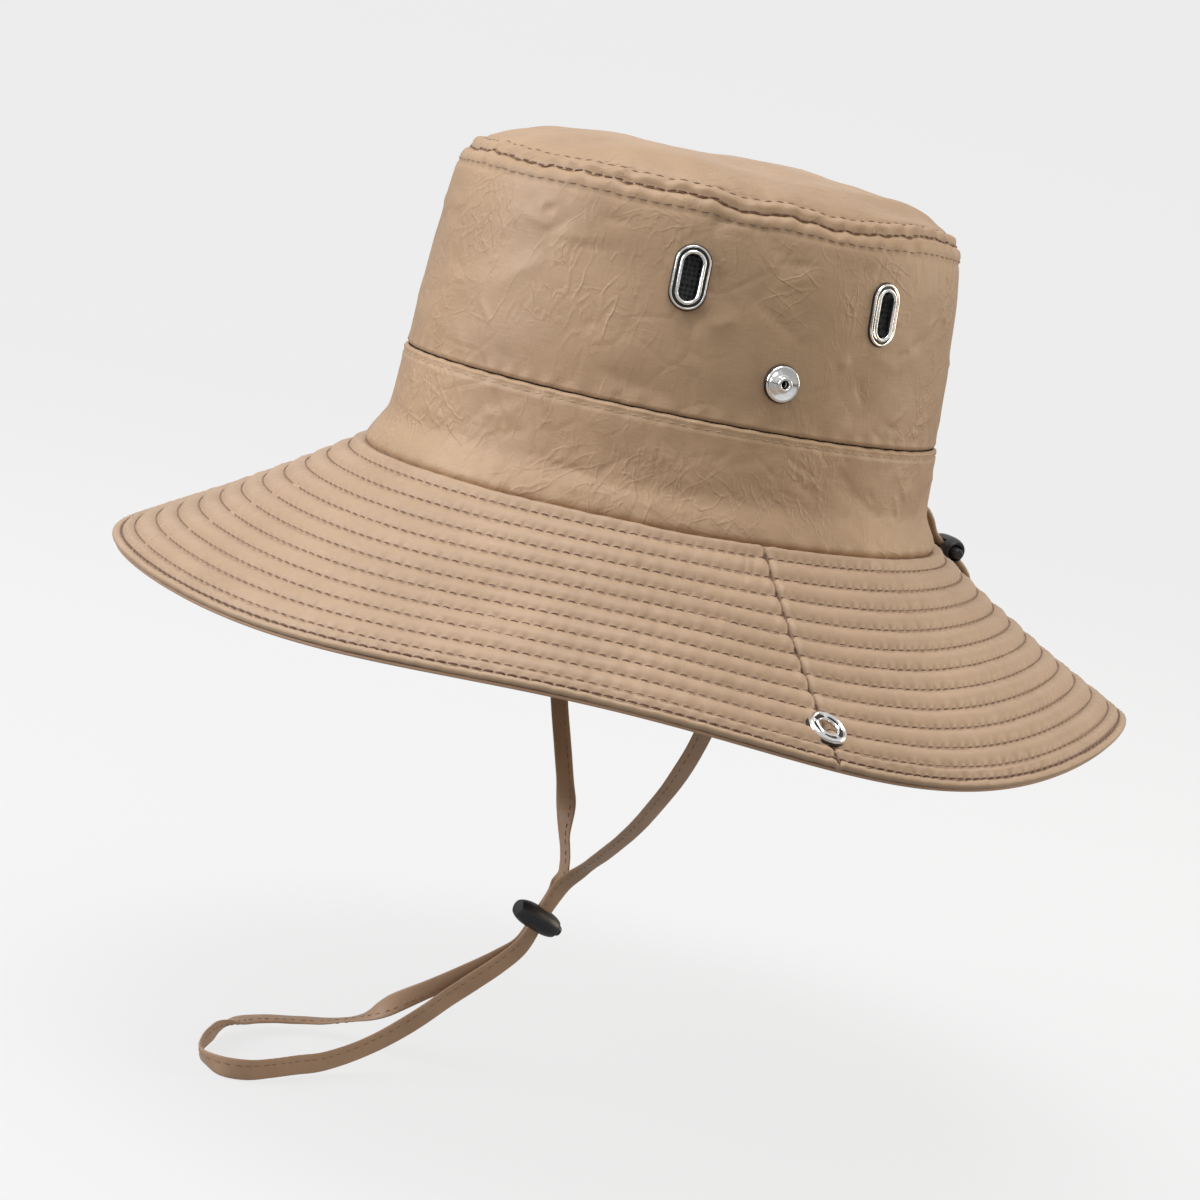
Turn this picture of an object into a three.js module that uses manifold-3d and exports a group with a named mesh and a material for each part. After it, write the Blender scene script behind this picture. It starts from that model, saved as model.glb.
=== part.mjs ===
// Boonie hat with side brim flaps, snap fasteners, lined vents, rear drawcord and chin strap.
// Millimetres. Origin: centre of the head opening in the crown-to-brim join plane.
// +Z up, front of the hat towards -Y, wearer's left towards +X.
import * as THREE from 'three';
import Module from 'manifold-3d';

const wasm = await Module();
wasm.setup();

// ---- driving dimensions -------------------------------------------------
const OVAL = 15;                 // the head oval is this much longer (half) than it is wide
const SEGMENTS = 48;             // facets round every oval ring
const CLOTH = 0.8;               // crown cloth thickness
const GAP = 0.3;                 // clearance between neighbouring layers
const BAND_TOP = 34.6;           // seam between lower band and upper wall
const CROWN_TOP = 101.6;         // seam between wall and top panel
const WALL = [                   // crown outline: height, half width
  [0.3, 86.8], [5, 83.5], [12, 81], [33, 79.4], [34.7, 78.2],
  [60, 77], [85, 75], [95, 73.5], [101.6, 71],
];
const DOME = [[71.4, 101.9], [65, 107.5], [52, 112.5], [34, 115.3], [16, 116]];
const LINING_DROP = 5;           // mesh lining hangs this far inside the crown outline
const LINING = 0.6;
const SWEATBAND = { z0: 1.5, z1: 31, inset: 4.4, thick: 0.8 };

const BRIM = {
  inner: 87.4, outer: 161.7, ovalInner: 15.4, ovalOuter: 14.1,
  drop: 44.2, rearDrop: 0.3, sideDrop: 1.7, cornerWave: 2.3, fourWave: 2, fiveWave: 2.9, bow: -1.9,
};
const BRIM_LAYERS = { upper: [0, -0.6], core: [-0.95, -1.85], under: [-2.2, -2.8] };
const FOLD_X = 98;               // the side flaps fold up along |x| = FOLD_X
const SEAM_GAP = 0.4;            // slit between front and rear brim panels

const VENT = { front: -35.8, rear: 32.4, z: 76.8, straight: 4.4, outer: 5.7, bore: 2.9, barrel: 3.7 };
const STUD = { y: -1.2, z: 50.2, disc: 5.8, post: 2.4, shank: 1.7 };
const SOCKET = { along: 74.5, ring: 6.4, bore: 3.0, barrel: 3.5 };

const STRAP = { width: 5.6, thick: 1.2, pitch: 0.85 };
const DRAWCORD = { dia: 2.4, z: 11, inset: 2.6, pitch: 1.4 };
const LOCK = {
  half: 10.5, centre: -0.5, front: 7.3, back: -9.4, across: 5.2, along: 4.3,
  bore: 2.9, boreEnd: -8.2, slot: 3.2, slotHalf: 1.75,
  stem: 2.6, stemEnd: -4.4, travel: 2.2, nub: 1.9, nubEnd: 9.8,
};
const CHIN_LOCK = { at: [0, -8.8, -154.2], cord: [0, -0.41, -0.9121], button: [0, 0.9121, -0.41] };
const REAR_LOCK = { at: [0, 118.4, -3.7], cord: [0, 0.822, -0.569], button: [1, 0, 0] };

const COLORS = {
  shell: 0xc0a07c, brim: 0xc9a986, strap: 0x8a6c4e, mesh: 0x1b1a19,
  inner: 0xb59772, core: 0xd9d4c8, chrome: 0xd8dadd, black: 0x161616, steel: 0x9a9da1,
};

// ---- small helpers ------------------------------------------------------
const group = new THREE.Group();
group.name = 'boonie_hat';

const V = (x, y, z) => new THREE.Vector3(x, y, z);
const table = (rows, z) => {
  let i = 0;
  while (i < rows.length - 2 && z > rows[i + 1][0]) i += 1;
  const [z0, r0] = rows[i];
  const [z1, r1] = rows[i + 1];
  return r0 + ((r1 - r0) * (z - z0)) / (z1 - z0);
};
const wallR = (z) => table(WALL, z);
const onOval = (r, oval, t, z) => V(r * Math.cos(t), (r + oval) * Math.sin(t), z);

function build(points, faces) {
  const flat = points.flatMap((p) => [p.x, p.y, p.z]);
  const g = new THREE.BufferGeometry();
  g.setAttribute('position', new THREE.Float32BufferAttribute(flat, 3));
  g.setIndex(faces);
  return outward(g);
}

function volume(g) {
  const p = g.attributes.position;
  const idx = g.index ? Array.from(g.index.array) : Array.from({ length: p.count }, (_, i) => i);
  const [a, b, c] = [V(), V(), V()];
  let sum = 0;
  for (let i = 0; i < idx.length; i += 3) {
    a.fromBufferAttribute(p, idx[i]);
    b.fromBufferAttribute(p, idx[i + 1]);
    c.fromBufferAttribute(p, idx[i + 2]);
    sum += a.dot(b.cross(c));
  }
  return sum / 6;
}

function outward(g) {
  if (volume(g) > 0) return g;
  if (!g.index) g.setIndex(Array.from({ length: g.attributes.position.count }, (_, i) => i));
  const idx = g.index.array;
  for (let i = 0; i < idx.length; i += 3) [idx[i], idx[i + 1]] = [idx[i + 1], idx[i]];
  return g;
}

// Closed solid swept round a loop: rows of the same closed outline, joined end to end.
function loopSolid(rows) {
  const n = rows.length;
  const m = rows[0].length;
  const faces = [];
  for (let i = 0; i < n; i += 1) {
    for (let j = 0; j < m; j += 1) {
      const a = i * m + j;
      const b = i * m + ((j + 1) % m);
      const c = ((i + 1) % n) * m + ((j + 1) % m);
      const d = ((i + 1) % n) * m + j;
      faces.push(a, b, c, a, c, d);
    }
  }
  return build(rows.flat(), faces);
}

function ringSolid(outline) {
  const rows = [];
  for (let i = 0; i < SEGMENTS; i += 1) rows.push(outline((i / SEGMENTS) * 2 * Math.PI));
  return loopSolid(rows);
}

function toManifold(g) {
  const p = g.attributes.position;
  const keys = new Map();
  const verts = [];
  const map = [];
  for (let i = 0; i < p.count; i += 1) {
    const k = [p.getX(i), p.getY(i), p.getZ(i)].map((v) => Math.round(v * 1e4)).join(',');
    if (!keys.has(k)) {
      keys.set(k, keys.size);
      verts.push(p.getX(i), p.getY(i), p.getZ(i));
    }
    map.push(keys.get(k));
  }
  const idx = g.index ? Array.from(g.index.array) : map.map((_, i) => i);
  const tris = [];
  for (let i = 0; i < idx.length; i += 3) {
    const t = [map[idx[i]], map[idx[i + 1]], map[idx[i + 2]]];
    if (t[0] !== t[1] && t[1] !== t[2] && t[2] !== t[0]) tris.push(...t);
  }
  const mesh = new wasm.Mesh({
    numProp: 3, vertProperties: new Float32Array(verts), triVerts: new Uint32Array(tris),
  });
  return new wasm.Manifold(mesh);
}

function fromManifold(m) {
  const mesh = m.getMesh();
  const g = new THREE.BufferGeometry();
  g.setAttribute('position', new THREE.Float32BufferAttribute(Array.from(mesh.vertProperties), 3));
  g.setIndex(Array.from(mesh.triVerts));
  return g;
}

const cut = (g, tools) => fromManifold(tools.reduce((m, t) => m.subtract(toManifold(t)), toManifold(g)));

// Keeps the part of a solid on the far side of each plane [normal, distance].
function trim(g, planes) {
  return fromManifold(planes.reduce((m, [n, d]) => m.trimByPlane(n, d), toManifold(g)));
}

function add(name, geometry, color, metal = 0, rough = 0.85) {
  const g = geometry.index ? geometry.toNonIndexed() : geometry;
  g.computeVertexNormals();
  const material = new THREE.MeshStandardMaterial({ color, metalness: metal, roughness: rough });
  const mesh = new THREE.Mesh(g, material);
  mesh.name = name;
  group.add(mesh);
}

// Places a solid made round +Z so that its +Z points along n and its +Y along up.
function placed(g, at, n, up = V(0, 0, 1)) {
  const z = n.clone().normalize();
  const x = up.clone().cross(z).normalize();
  const y = z.clone().cross(x);
  const m = new THREE.Matrix4().makeBasis(x, y, z).setPosition(at);
  return g.clone().applyMatrix4(m);
}

const lathe = (profile, n = 20) => {
  const g = new THREE.LatheGeometry(profile.map(([r, z]) => new THREE.Vector2(r, z)), n);
  return outward(g.rotateX(Math.PI / 2));
};
const rod = (r, z0, z1, n = 20) => lathe([[0, z0], [r, z0], [r, z1], [0, z1]], n);
const tube = (r0, r1, z0, z1, n = 20) => (
  lathe([[r0, z0], [r1, z0], [r1, z1], [r0, z1], [r0, z0]], n)
);

// ---- crown --------------------------------------------------------------
const shellRing = (z0, z1, inset, thick, steps) => ringSolid((t) => {
  const outer = [];
  const inner = [];
  for (let i = 0; i <= steps; i += 1) {
    const z = z0 + ((z1 - z0) * i) / steps;
    outer.push(onOval(wallR(z) - inset, OVAL, t, z));
    inner.unshift(onOval(wallR(z) - inset - thick, OVAL, t, z));
  }
  return [...outer, ...inner];
});

// Point and outward normal on the crown wall.
function onWall(t, z) {
  const p = onOval(wallR(z), OVAL, t, z);
  const a = onOval(wallR(z), OVAL, t + 0.01, z).sub(p);
  const b = onOval(wallR(z + 1), OVAL, t, z + 1).sub(p);
  return { p, n: a.cross(b).normalize() };
}

function wallAtY(y, z, side) {
  const t = Math.asin(y / (wallR(z) + OVAL));
  return onWall(side > 0 ? t : Math.PI - t, z);
}

// Closed outline of [half width, depth] carried round a pill shape.
function pillRing(profile) {
  const rows = [];
  const n = 8;
  for (const end of [0, 1]) {
    for (let i = 0; i <= n; i += 1) {
      const a = (end + i / n) * Math.PI;
      const dy = end ? -VENT.straight : VENT.straight;
      rows.push(profile.map(([w, d]) => V(w * Math.cos(a), w * Math.sin(a) + dy, d)));
    }
  }
  return loopSolid(rows);
}

function pillPlug(w, z0, z1) {
  const s = new THREE.Shape();
  s.absarc(0, VENT.straight, w, 0, Math.PI, false);
  s.absarc(0, -VENT.straight, w, Math.PI, 2 * Math.PI, false);
  const g = new THREE.ExtrudeGeometry(s, { depth: z1 - z0, bevelEnabled: false, curveSegments: 8 });
  return g.translate(0, 0, z0);
}

function dome(inset, thick, flatR) {
  const top = DOME.map(([r, z]) => [r - inset * 2.5, z - inset]);
  const under = top.map(([r, z], i) => (i ? [r, z - thick] : [r - 1.2, z]));
  const profile = [[0, DOME[4][1] - inset - thick], [flatR, DOME[4][1] - inset - thick]];
  profile.push(...under.slice(0, -1).reverse(), ...top, [0, DOME[4][1] - inset]);
  const g = new THREE.LatheGeometry(profile.map(([r, z]) => new THREE.Vector2(r, z)), SEGMENTS);
  g.rotateX(Math.PI / 2);
  const p = g.attributes.position;
  for (let i = 0; i < p.count; i += 1) {
    const r = Math.hypot(p.getX(i), p.getY(i));
    p.setY(i, p.getY(i) * (1 + OVAL / 71.4));
    if (r < 0.001) p.setXY(i, 0, 0);
  }
  return outward(g);
}

const vents = [];
for (const side of [1, -1]) {
  for (const y of [VENT.front, VENT.rear]) {
    const tag = `${y < 0 ? 'front' : 'rear'}_${side > 0 ? 'left' : 'right'}`;
    vents.push({ tag, ...wallAtY(y, VENT.z, side) });
  }
}
const studs = [1, -1].map((side) => ({
  tag: side > 0 ? 'left' : 'right', ...wallAtY(STUD.y, STUD.z, side),
}));

const ventPlugs = vents.map((v) => placed(pillPlug(VENT.barrel + GAP, -8, 6), v.p, v.n));
const studPlugs = studs.map((s) => placed(rod(STUD.shank + GAP, -8, 6), s.p, s.n));
const wallHoles = [...ventPlugs, ...studPlugs];

add('crown_tip', dome(0, CLOTH, 16), COLORS.shell);
add('crown_wall', cut(shellRing(BAND_TOP + GAP, CROWN_TOP, 0, CLOTH, 5), wallHoles), COLORS.shell);
add('wall_lining_mesh', shellRing(BAND_TOP - 2, CROWN_TOP - 3, LINING_DROP, LINING, 3), COLORS.mesh);
add('tip_lining_mesh', dome(CLOTH + 0.5, LINING, 16), COLORS.mesh);

const exits = [1, -1].map((s) => {
  const box = new THREE.BoxGeometry(10.5, 30, 3.6);
  return box.translate(s * 8.25, 97, DRAWCORD.z);
});
add('crown_band', cut(shellRing(0.3, BAND_TOP, 0, CLOTH, 4), exits), COLORS.shell);
add('sweatband', shellRing(SWEATBAND.z0, SWEATBAND.z1, SWEATBAND.inset, SWEATBAND.thick, 3), COLORS.inner);

const B = VENT.barrel;
const EYELET = [
  [VENT.bore, -3.9], [B, -3.9], [B, 0.35], [VENT.outer, 0.35], [VENT.outer, 1.0],
  [VENT.outer - 0.5, 1.5], [VENT.outer - 1.2, 1.1], [VENT.outer - 1.7, 1.7], [VENT.bore, 1.2],
];
const WASHER = [[B + 0.2, -3.8], [B + 2, -3.8], [B + 2, -3.1], [B + 0.2, -3.1]];
for (const v of vents) {
  add(`vent_eyelet_${v.tag}`, placed(pillRing(EYELET), v.p, v.n), COLORS.chrome, 1, 0.2);
  add(`vent_washer_${v.tag}`, placed(pillRing(WASHER), v.p, v.n), COLORS.chrome, 1, 0.2);
}

const D = STUD.disc;
const STUD_PROFILE = [
  [0, -3.8], [STUD.shank, -3.8], [STUD.shank, 0.35], [D, 0.35], [D, 1.2], [D - 0.8, 1.5],
  [D - 1.5, 1.0], [STUD.post, 1.0], [STUD.post + 0.25, 2.6], [STUD.post - 0.2, 3.2],
  [1.3, 3.2], [1.1, 1.6], [0, 1.5],
];
for (const s of studs) {
  add(`snap_stud_${s.tag}`, placed(lathe(STUD_PROFILE), s.p, s.n), COLORS.chrome, 1, 0.2);
  const back = tube(STUD.shank + 0.1, 5, -3.7, -3.0);
  add(`snap_stud_back_${s.tag}`, placed(back, s.p, s.n), COLORS.chrome, 1, 0.2);
}

// ---- brim ---------------------------------------------------------------
const brimDrop = (t) => (
  BRIM.drop + BRIM.rearDrop * Math.sin(t) + BRIM.sideDrop * Math.cos(2 * t)
  + BRIM.cornerWave * Math.sin(3 * t) + BRIM.fourWave * Math.cos(4 * t) + BRIM.fiveWave * Math.sin(5 * t)
);

// s runs from the join (0) to the edge (1); depth is measured down from the upper face.
function onBrim(t, s, depth) {
  const drop = brimDrop(t);
  const run = BRIM.outer - BRIM.inner;
  const slope = Math.atan2(drop, run);
  const r = BRIM.inner + run * s - depth * Math.sin(-slope);
  const oval = BRIM.ovalInner + (BRIM.ovalOuter - BRIM.ovalInner) * s;
  const z = -drop * s + BRIM.bow * 4 * s * (1 - s) + depth * Math.cos(slope);
  return onOval(r, oval, t, z);
}

function brimLayer([top, bottom], s0, s1, lip) {
  const steps = 3;
  return ringSolid((t) => {
    const a = [];
    const b = [];
    for (let i = 0; i <= steps; i += 1) {
      const s = s0 + ((s1 - s0) * i) / steps;
      a.push(onBrim(t, s, top));
      if (!lip || i < steps) b.unshift(onBrim(t, s, bottom));
    }
    if (!lip) return [...a, ...b];
    return [...a, onBrim(t, s1, lip), onBrim(t, s1 - 0.008, lip), onBrim(t, s1 - 0.008, bottom), ...b];
  });
}

const brimRings = {
  upper: brimLayer(BRIM_LAYERS.upper, 0, 1, BRIM_LAYERS.core[1]),
  core: brimLayer(BRIM_LAYERS.core, 0.01, 0.98, 0),
  under: brimLayer(BRIM_LAYERS.under, 0.005, 0.998, 0),
};

const slopeLength = Math.hypot(BRIM.outer - BRIM.inner, brimDrop(0));
const sockets = [1, -1].map((side) => {
  const t = side > 0 ? 0 : Math.PI;
  const s = SOCKET.along / slopeLength;
  const p = onBrim(t, s, 0);
  const round = onBrim(t + 0.03, s, 0).sub(onBrim(t - 0.03, s, 0));
  const outwards = onBrim(t, s + 0.05, 0).sub(onBrim(t, s - 0.05, 0));
  const n = outwards.cross(round).normalize();
  return { tag: side > 0 ? 'left' : 'right', side, p, n };
});
const up = V(0, 1, 0);
const socketPlugs = sockets.map((k) => placed(rod(SOCKET.barrel + GAP, -8, 6), k.p, k.n, up));

const half = SEAM_GAP / 2;
const ends = { front: [[0, -1, 0], half], rear: [[0, 1, 0], half] };
const middle = [[[-1, 0, 0], -(FOLD_X - 0.2)], [[1, 0, 0], -(FOLD_X - 0.2)]];
const LAYER_COLORS = { upper: COLORS.brim, core: COLORS.core, under: COLORS.inner };
for (const [layer, ring] of Object.entries(brimRings)) {
  for (const [end, plane] of Object.entries(ends)) {
    add(`brim_${layer}_${end}`, trim(ring, [plane, ...middle]), LAYER_COLORS[layer]);
  }
  for (const k of sockets) {
    const fold = [[k.side, 0, 0], FOLD_X + 0.2];
    const pierced = cut(ring, socketPlugs);
    const halves = layer === 'core' ? { core: null } : ends;
    for (const [end, plane] of Object.entries(halves)) {
      const name = plane ? `flap_${layer}_${end}_${k.tag}` : `flap_core_${k.tag}`;
      add(name, trim(pierced, plane ? [plane, fold] : [fold]), LAYER_COLORS[layer]);
    }
  }
}

const S = SOCKET;
const SOCKET_PROFILE = [
  [S.bore, -3.3], [S.barrel, -3.3], [S.barrel, 0.35], [S.ring, 0.35], [S.ring, 1.0],
  [S.ring - 0.7, 1.7], [S.ring - 1.8, 2.0], [S.bore + 0.6, 1.7], [S.bore, 1.1], [S.bore, -3.3],
];
for (const k of sockets) {
  add(`snap_socket_${k.tag}`, placed(lathe(SOCKET_PROFILE), k.p, k.n, up), COLORS.chrome, 1, 0.2);
  const cap = lathe([[0, -5.1], [5, -5.1], [5.6, -4.7], [5.6, -3.7], [0, -3.7]]);
  add(`snap_cap_${k.tag}`, placed(cap, k.p, k.n, up), COLORS.chrome, 1, 0.2);
}

// ---- cords --------------------------------------------------------------
// Smooth path whose section keeps the wide side along a chosen direction.
class RibbonPath extends THREE.CatmullRomCurve3 {
  constructor(points, wide) {
    super(points, false, 'centripetal');
    this.wide = wide;
  }

  computeFrenetFrames(segments) {
    const tangents = [];
    const normals = [];
    const binormals = [];
    for (let i = 0; i <= segments; i += 1) {
      const u = i / segments;
      const t = this.getTangentAt(u);
      const w = this.wide(this.getPointAt(u), t, u);
      w.addScaledVector(t, -w.dot(t)).normalize();
      tangents.push(t);
      binormals.push(w);
      normals.push(w.clone().cross(t).normalize());
    }
    return { tangents, normals, binormals };
  }
}

function octagon(a, b) {
  const s = new THREE.Shape();
  const k = Math.min(a, b) * 0.29;
  const pts = [
    [a - k, b], [-a + k, b], [-a, b - k], [-a, -b + k], [-a + k, -b], [a - k, -b], [a, -b + k], [a, b - k],
  ];
  pts.forEach(([x, y], i) => (i ? s.lineTo(x, y) : s.moveTo(x, y)));
  s.closePath();
  return s;
}

function swept(path, shape, steps) {
  const g = new THREE.ExtrudeGeometry(shape, { steps, extrudePath: path, bevelEnabled: false });
  return outward(g);
}

const along = (lock, t, x) => [
  lock.at[0] + x * (lock.button[0] || 0) + (lock.button[0] ? 0 : x) + lock.cord[0] * t,
  lock.at[1] + lock.cord[1] * t,
  lock.at[2] + lock.cord[2] * t,
];

const STRAP_ROUTE = [
  [79.3, 0, 13], [80, 0, 8], [83.2, 0, 2], [84.4, 0, -6], [85, -0.8, -20], [85, -1.8, -36],
  [83.5, -2.4, -51], [79, -2.8, -65], [70, -2.9, -80], [57.5, -2.4, -94], [43, -1.6, -107.5],
  [21, -1, -124.5], [7, -1, -134.5],
  along(CHIN_LOCK, -14, STRAP.pitch), along(CHIN_LOCK, 0, STRAP.pitch), along(CHIN_LOCK, 11, STRAP.pitch),
  [1.2, -20.5, -171.5], [1.5, -28, -177.5], [2, -36.5, -184], [2.6, -45, -191], [3.2, -54, -197.5],
  [4.2, -63, -202.6], [6, -72, -206], [8.4, -81, -208], [11.4, -90.5, -208.3], [15.4, -100, -208.3],
  [18, -109, -208.3], [15.8, -117, -208.3], [8.4, -121.4, -208.3], [-1.6, -120, -208.3],
  [-12, -114.4, -208.3], [-22, -106.5, -208.3], [-28.4, -97.5, -208.3], [-31, -87.5, -208.3],
  [-30, -77.5, -207.8], [-26, -68.6, -206], [-19, -61.6, -202], [-12, -56.4, -196.2],
  [-6.4, -50.6, -189.6], [-3.2, -43.4, -184], [-1.8, -35.6, -179.2], [-1.1, -27.6, -174.4],
  [-0.95, -20.2, -169.8],
  along(CHIN_LOCK, 11, -STRAP.pitch), along(CHIN_LOCK, 0, -STRAP.pitch),
  along(CHIN_LOCK, -14, -STRAP.pitch),
  [-4, -1.4, -134], [-10, -0.8, -126], [-17, 0.4, -116.5], [-28.5, 1.2, -103.5], [-42.5, 1.8, -88],
  [-57, 2, -68], [-69.5, 1.8, -47], [-79, 1.1, -25], [-83.2, 0.4, -10], [-84.2, 0, -4], [-83.2, 0, 2],
  [-80, 0, 8], [-79.3, 0, 13],
];
const strapPath = new RibbonPath(STRAP_ROUTE.map((p) => V(...p)), (p, t, u) => {
  const hanging = V(1, 0, 0).cross(t).normalize().multiplyScalar(u < 0.5 ? 1 : -1);
  const lying = V(0, 0, -1);
  const k = THREE.MathUtils.smoothstep(-p.z, 188, 204);
  return hanging.lerp(lying, k);
});
add('chin_strap', swept(strapPath, octagon(STRAP.thick / 2, STRAP.width / 2), 80), COLORS.strap);

function channel(t0, t1, n, side) {
  const pts = [];
  const r = wallR(DRAWCORD.z) - DRAWCORD.inset;
  for (let i = 0; i <= n; i += 1) {
    const p = onOval(r, OVAL, t0 + ((t1 - t0) * i) / n, DRAWCORD.z);
    pts.push([side * p.x, p.y, p.z]);
  }
  return pts;
}

const REAR_OUT = [[6.2, 98.4, 11], [5, 103.2, 10.1], [3.1, 107.8, 6.4], [1.7, 111, 2.1]];
const REAR_LOOP = [
  [1.3, 126.8, -9.9], [-0.8, 130.6, -13.4], [-5.5, 133.2, -16.9], [-11.5, 133.6, -18.5], [-16.2, 131, -17.2],
  [-16.4, 126.8, -14.5], [-12, 124.6, -12], [-6.6, 125.6, -10.4],
];
const DRAWCORD_ROUTE = [
  ...channel(0.14, 1.38, 13, 1), [10.2, 94.2, 11], ...REAR_OUT,
  along(REAR_LOCK, -5.2, DRAWCORD.pitch), along(REAR_LOCK, 5.2, DRAWCORD.pitch),
  ...REAR_LOOP,
  along(REAR_LOCK, 5.2, -DRAWCORD.pitch), along(REAR_LOCK, -5.2, -DRAWCORD.pitch),
  ...REAR_OUT.map(([x, y, z]) => [-x, y, z]).reverse(), [-10.2, 94.2, 11],
  ...channel(0.14, 1.38, 13, -1).reverse(),
];
const cordPath = new RibbonPath(DRAWCORD_ROUTE.map((p) => V(...p)), (p, t) => {
  const w = V(0, 0, 1);
  return w.addScaledVector(t, -w.dot(t));
});
const cordR = DRAWCORD.dia / 2;
add('rear_drawcord', swept(cordPath, octagon(cordR, cordR), 80), COLORS.strap);

// ---- cord locks ---------------------------------------------------------
// Built round the button axis (+Z); the cord runs through along X, strands side by side.
function lockBody() {
  const outer = [];
  for (let i = 0; i <= 8; i += 1) {
    const z = LOCK.back + ((LOCK.front - LOCK.back) * i) / 8;
    const k = Math.abs(z - LOCK.centre) / LOCK.half;
    outer.push([LOCK.across * (1 - k ** 3) ** 0.5, z]);
  }
  const body = lathe([[0, LOCK.back], ...outer, [0, LOCK.front]], 22);
  body.scale(LOCK.along / LOCK.across, 1, 1);
  const slot = new THREE.BoxGeometry(14, 2 * LOCK.slotHalf, 2 * LOCK.slot);
  return cut(body, [slot, rod(LOCK.bore, LOCK.boreEnd, LOCK.front + 2, 18)]);
}

function lockPlunger() {
  const profile = [
    [0, LOCK.stemEnd], [LOCK.stem, LOCK.stemEnd], [LOCK.stem, LOCK.front - 0.6],
    [LOCK.nub, LOCK.front + 0.4], [LOCK.nub, LOCK.nubEnd - 0.5], [LOCK.nub - 0.5, LOCK.nubEnd],
    [0, LOCK.nubEnd],
  ];
  const slot = new THREE.BoxGeometry(14, 2 * LOCK.slotHalf, 2 * LOCK.slot + LOCK.travel + 0.2);
  slot.translate(0, 0, LOCK.travel / 2 + 0.1);
  return cut(lathe(profile, 18), [slot]);
}

function lockSpring() {
  const wire = 0.45;
  const z0 = LOCK.boreEnd + wire / 2 + 0.1;
  const z1 = LOCK.stemEnd - wire / 2 - 0.1;
  const turns = 2.5;
  const n = 20;
  const pts = [];
  for (let i = 0; i <= n; i += 1) {
    const a = (i / n) * turns * 2 * Math.PI;
    pts.push(V(2 * Math.cos(a), 2 * Math.sin(a), z0 + ((z1 - z0) * i) / n));
  }
  const path = new THREE.CatmullRomCurve3(pts);
  return swept(path, octagon(wire / 2, wire / 2), 24);
}

function placeLock(g, lock) {
  const z = V(...lock.button);
  const x = V(...lock.cord);
  const y = z.clone().cross(x);
  return g.clone().applyMatrix4(new THREE.Matrix4().makeBasis(x, y, z).setPosition(V(...lock.at)));
}

for (const [name, lock] of [['chin', CHIN_LOCK], ['rear', REAR_LOCK]]) {
  add(`${name}_lock_body`, placeLock(lockBody(), lock), COLORS.black, 0, 0.4);
  add(`${name}_lock_plunger`, placeLock(lockPlunger(), lock), COLORS.black, 0, 0.4);
  add(`${name}_lock_spring`, placeLock(lockSpring(), lock), COLORS.steel, 1, 0.3);
}

export default group;
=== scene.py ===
"""Boonie hat: cloth, stitches, snaps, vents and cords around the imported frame. Metres, +Z up."""
import bmesh
import bpy
import math
import numpy as np
from mathutils import Matrix, Vector, noise


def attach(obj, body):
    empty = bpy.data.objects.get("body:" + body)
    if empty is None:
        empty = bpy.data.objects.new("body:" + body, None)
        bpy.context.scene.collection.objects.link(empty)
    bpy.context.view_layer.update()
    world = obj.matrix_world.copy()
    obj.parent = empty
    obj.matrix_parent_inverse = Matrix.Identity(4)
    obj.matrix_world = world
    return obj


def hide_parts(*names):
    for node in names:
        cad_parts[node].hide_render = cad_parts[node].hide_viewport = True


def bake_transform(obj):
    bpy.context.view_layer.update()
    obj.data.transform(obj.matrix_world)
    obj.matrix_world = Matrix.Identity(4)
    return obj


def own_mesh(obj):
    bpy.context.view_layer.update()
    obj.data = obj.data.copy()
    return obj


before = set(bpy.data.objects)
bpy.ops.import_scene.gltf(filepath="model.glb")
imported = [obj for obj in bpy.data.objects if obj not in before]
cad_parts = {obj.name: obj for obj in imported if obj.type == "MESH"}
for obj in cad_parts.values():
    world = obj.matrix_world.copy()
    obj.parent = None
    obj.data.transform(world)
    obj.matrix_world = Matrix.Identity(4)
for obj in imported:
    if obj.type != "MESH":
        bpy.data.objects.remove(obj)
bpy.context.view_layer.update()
MM = 0.001
TAU = 2 * math.pi

# ---- dimensions shared with the CAD (millimetres) --------------------------
OVAL = 15.0
BAND_TOP = 34.6
CROWN_TOP = 101.6
WALL_Z = [0.3, 5, 12, 33, 34.7, 60, 85, 95, 101.6]
WALL_R = [86.8, 83.5, 81, 79.4, 78.2, 77, 75, 73.5, 71]
DOME_R = [0, 16, 34, 52, 65, 71.4]
DOME_Z = [116, 116, 115.3, 112.5, 107.5, 101.9]
BRIM_IN, BRIM_OUT = 87.4, 161.7
OVAL_IN, OVAL_OUT = 15.4, 14.1
BOW = -1.9
VENT_FRONT, VENT_REAR, VENT_Z, VENT_STRAIGHT = -35.8, 32.4, 76.8, 4.4
STUD_Y, STUD_Z = -1.2, 50.2
SOCKET_ALONG = 74.5
LOCK_CHIN = dict(at=(0, -8.8, -154.2), cord=(0, -0.41, -0.9121), button=(0, 0.9121, -0.41))
LOCK_REAR = dict(at=(0, 118.4, -3.7), cord=(0, 0.822, -0.569), button=(1, 0, 0))
FLOOR_Z = -212.3
CLOTH_THICK, GAUZE_THICK, BAND_THICK = 0.5, 0.3, 0.8
DOME_REACH, TIP_R = DOME_R[-1], 71.0
SIDES = {"left": 1, "right": -1}  # along x
SIDE_ANGLE = {"left": 0.0, "right": math.pi}

# ---- camera ----------------------------------------------------------------
CAMERA = dict(azimuth=65.3, elevation=9.3, roll=12.0, distance=915.0, side=-10.0, height=-40.0, lens=80.0)


def add_object(name, data):
    obj = bpy.data.objects.new(name, data)
    bpy.context.scene.collection.objects.link(obj)
    return obj


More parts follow.
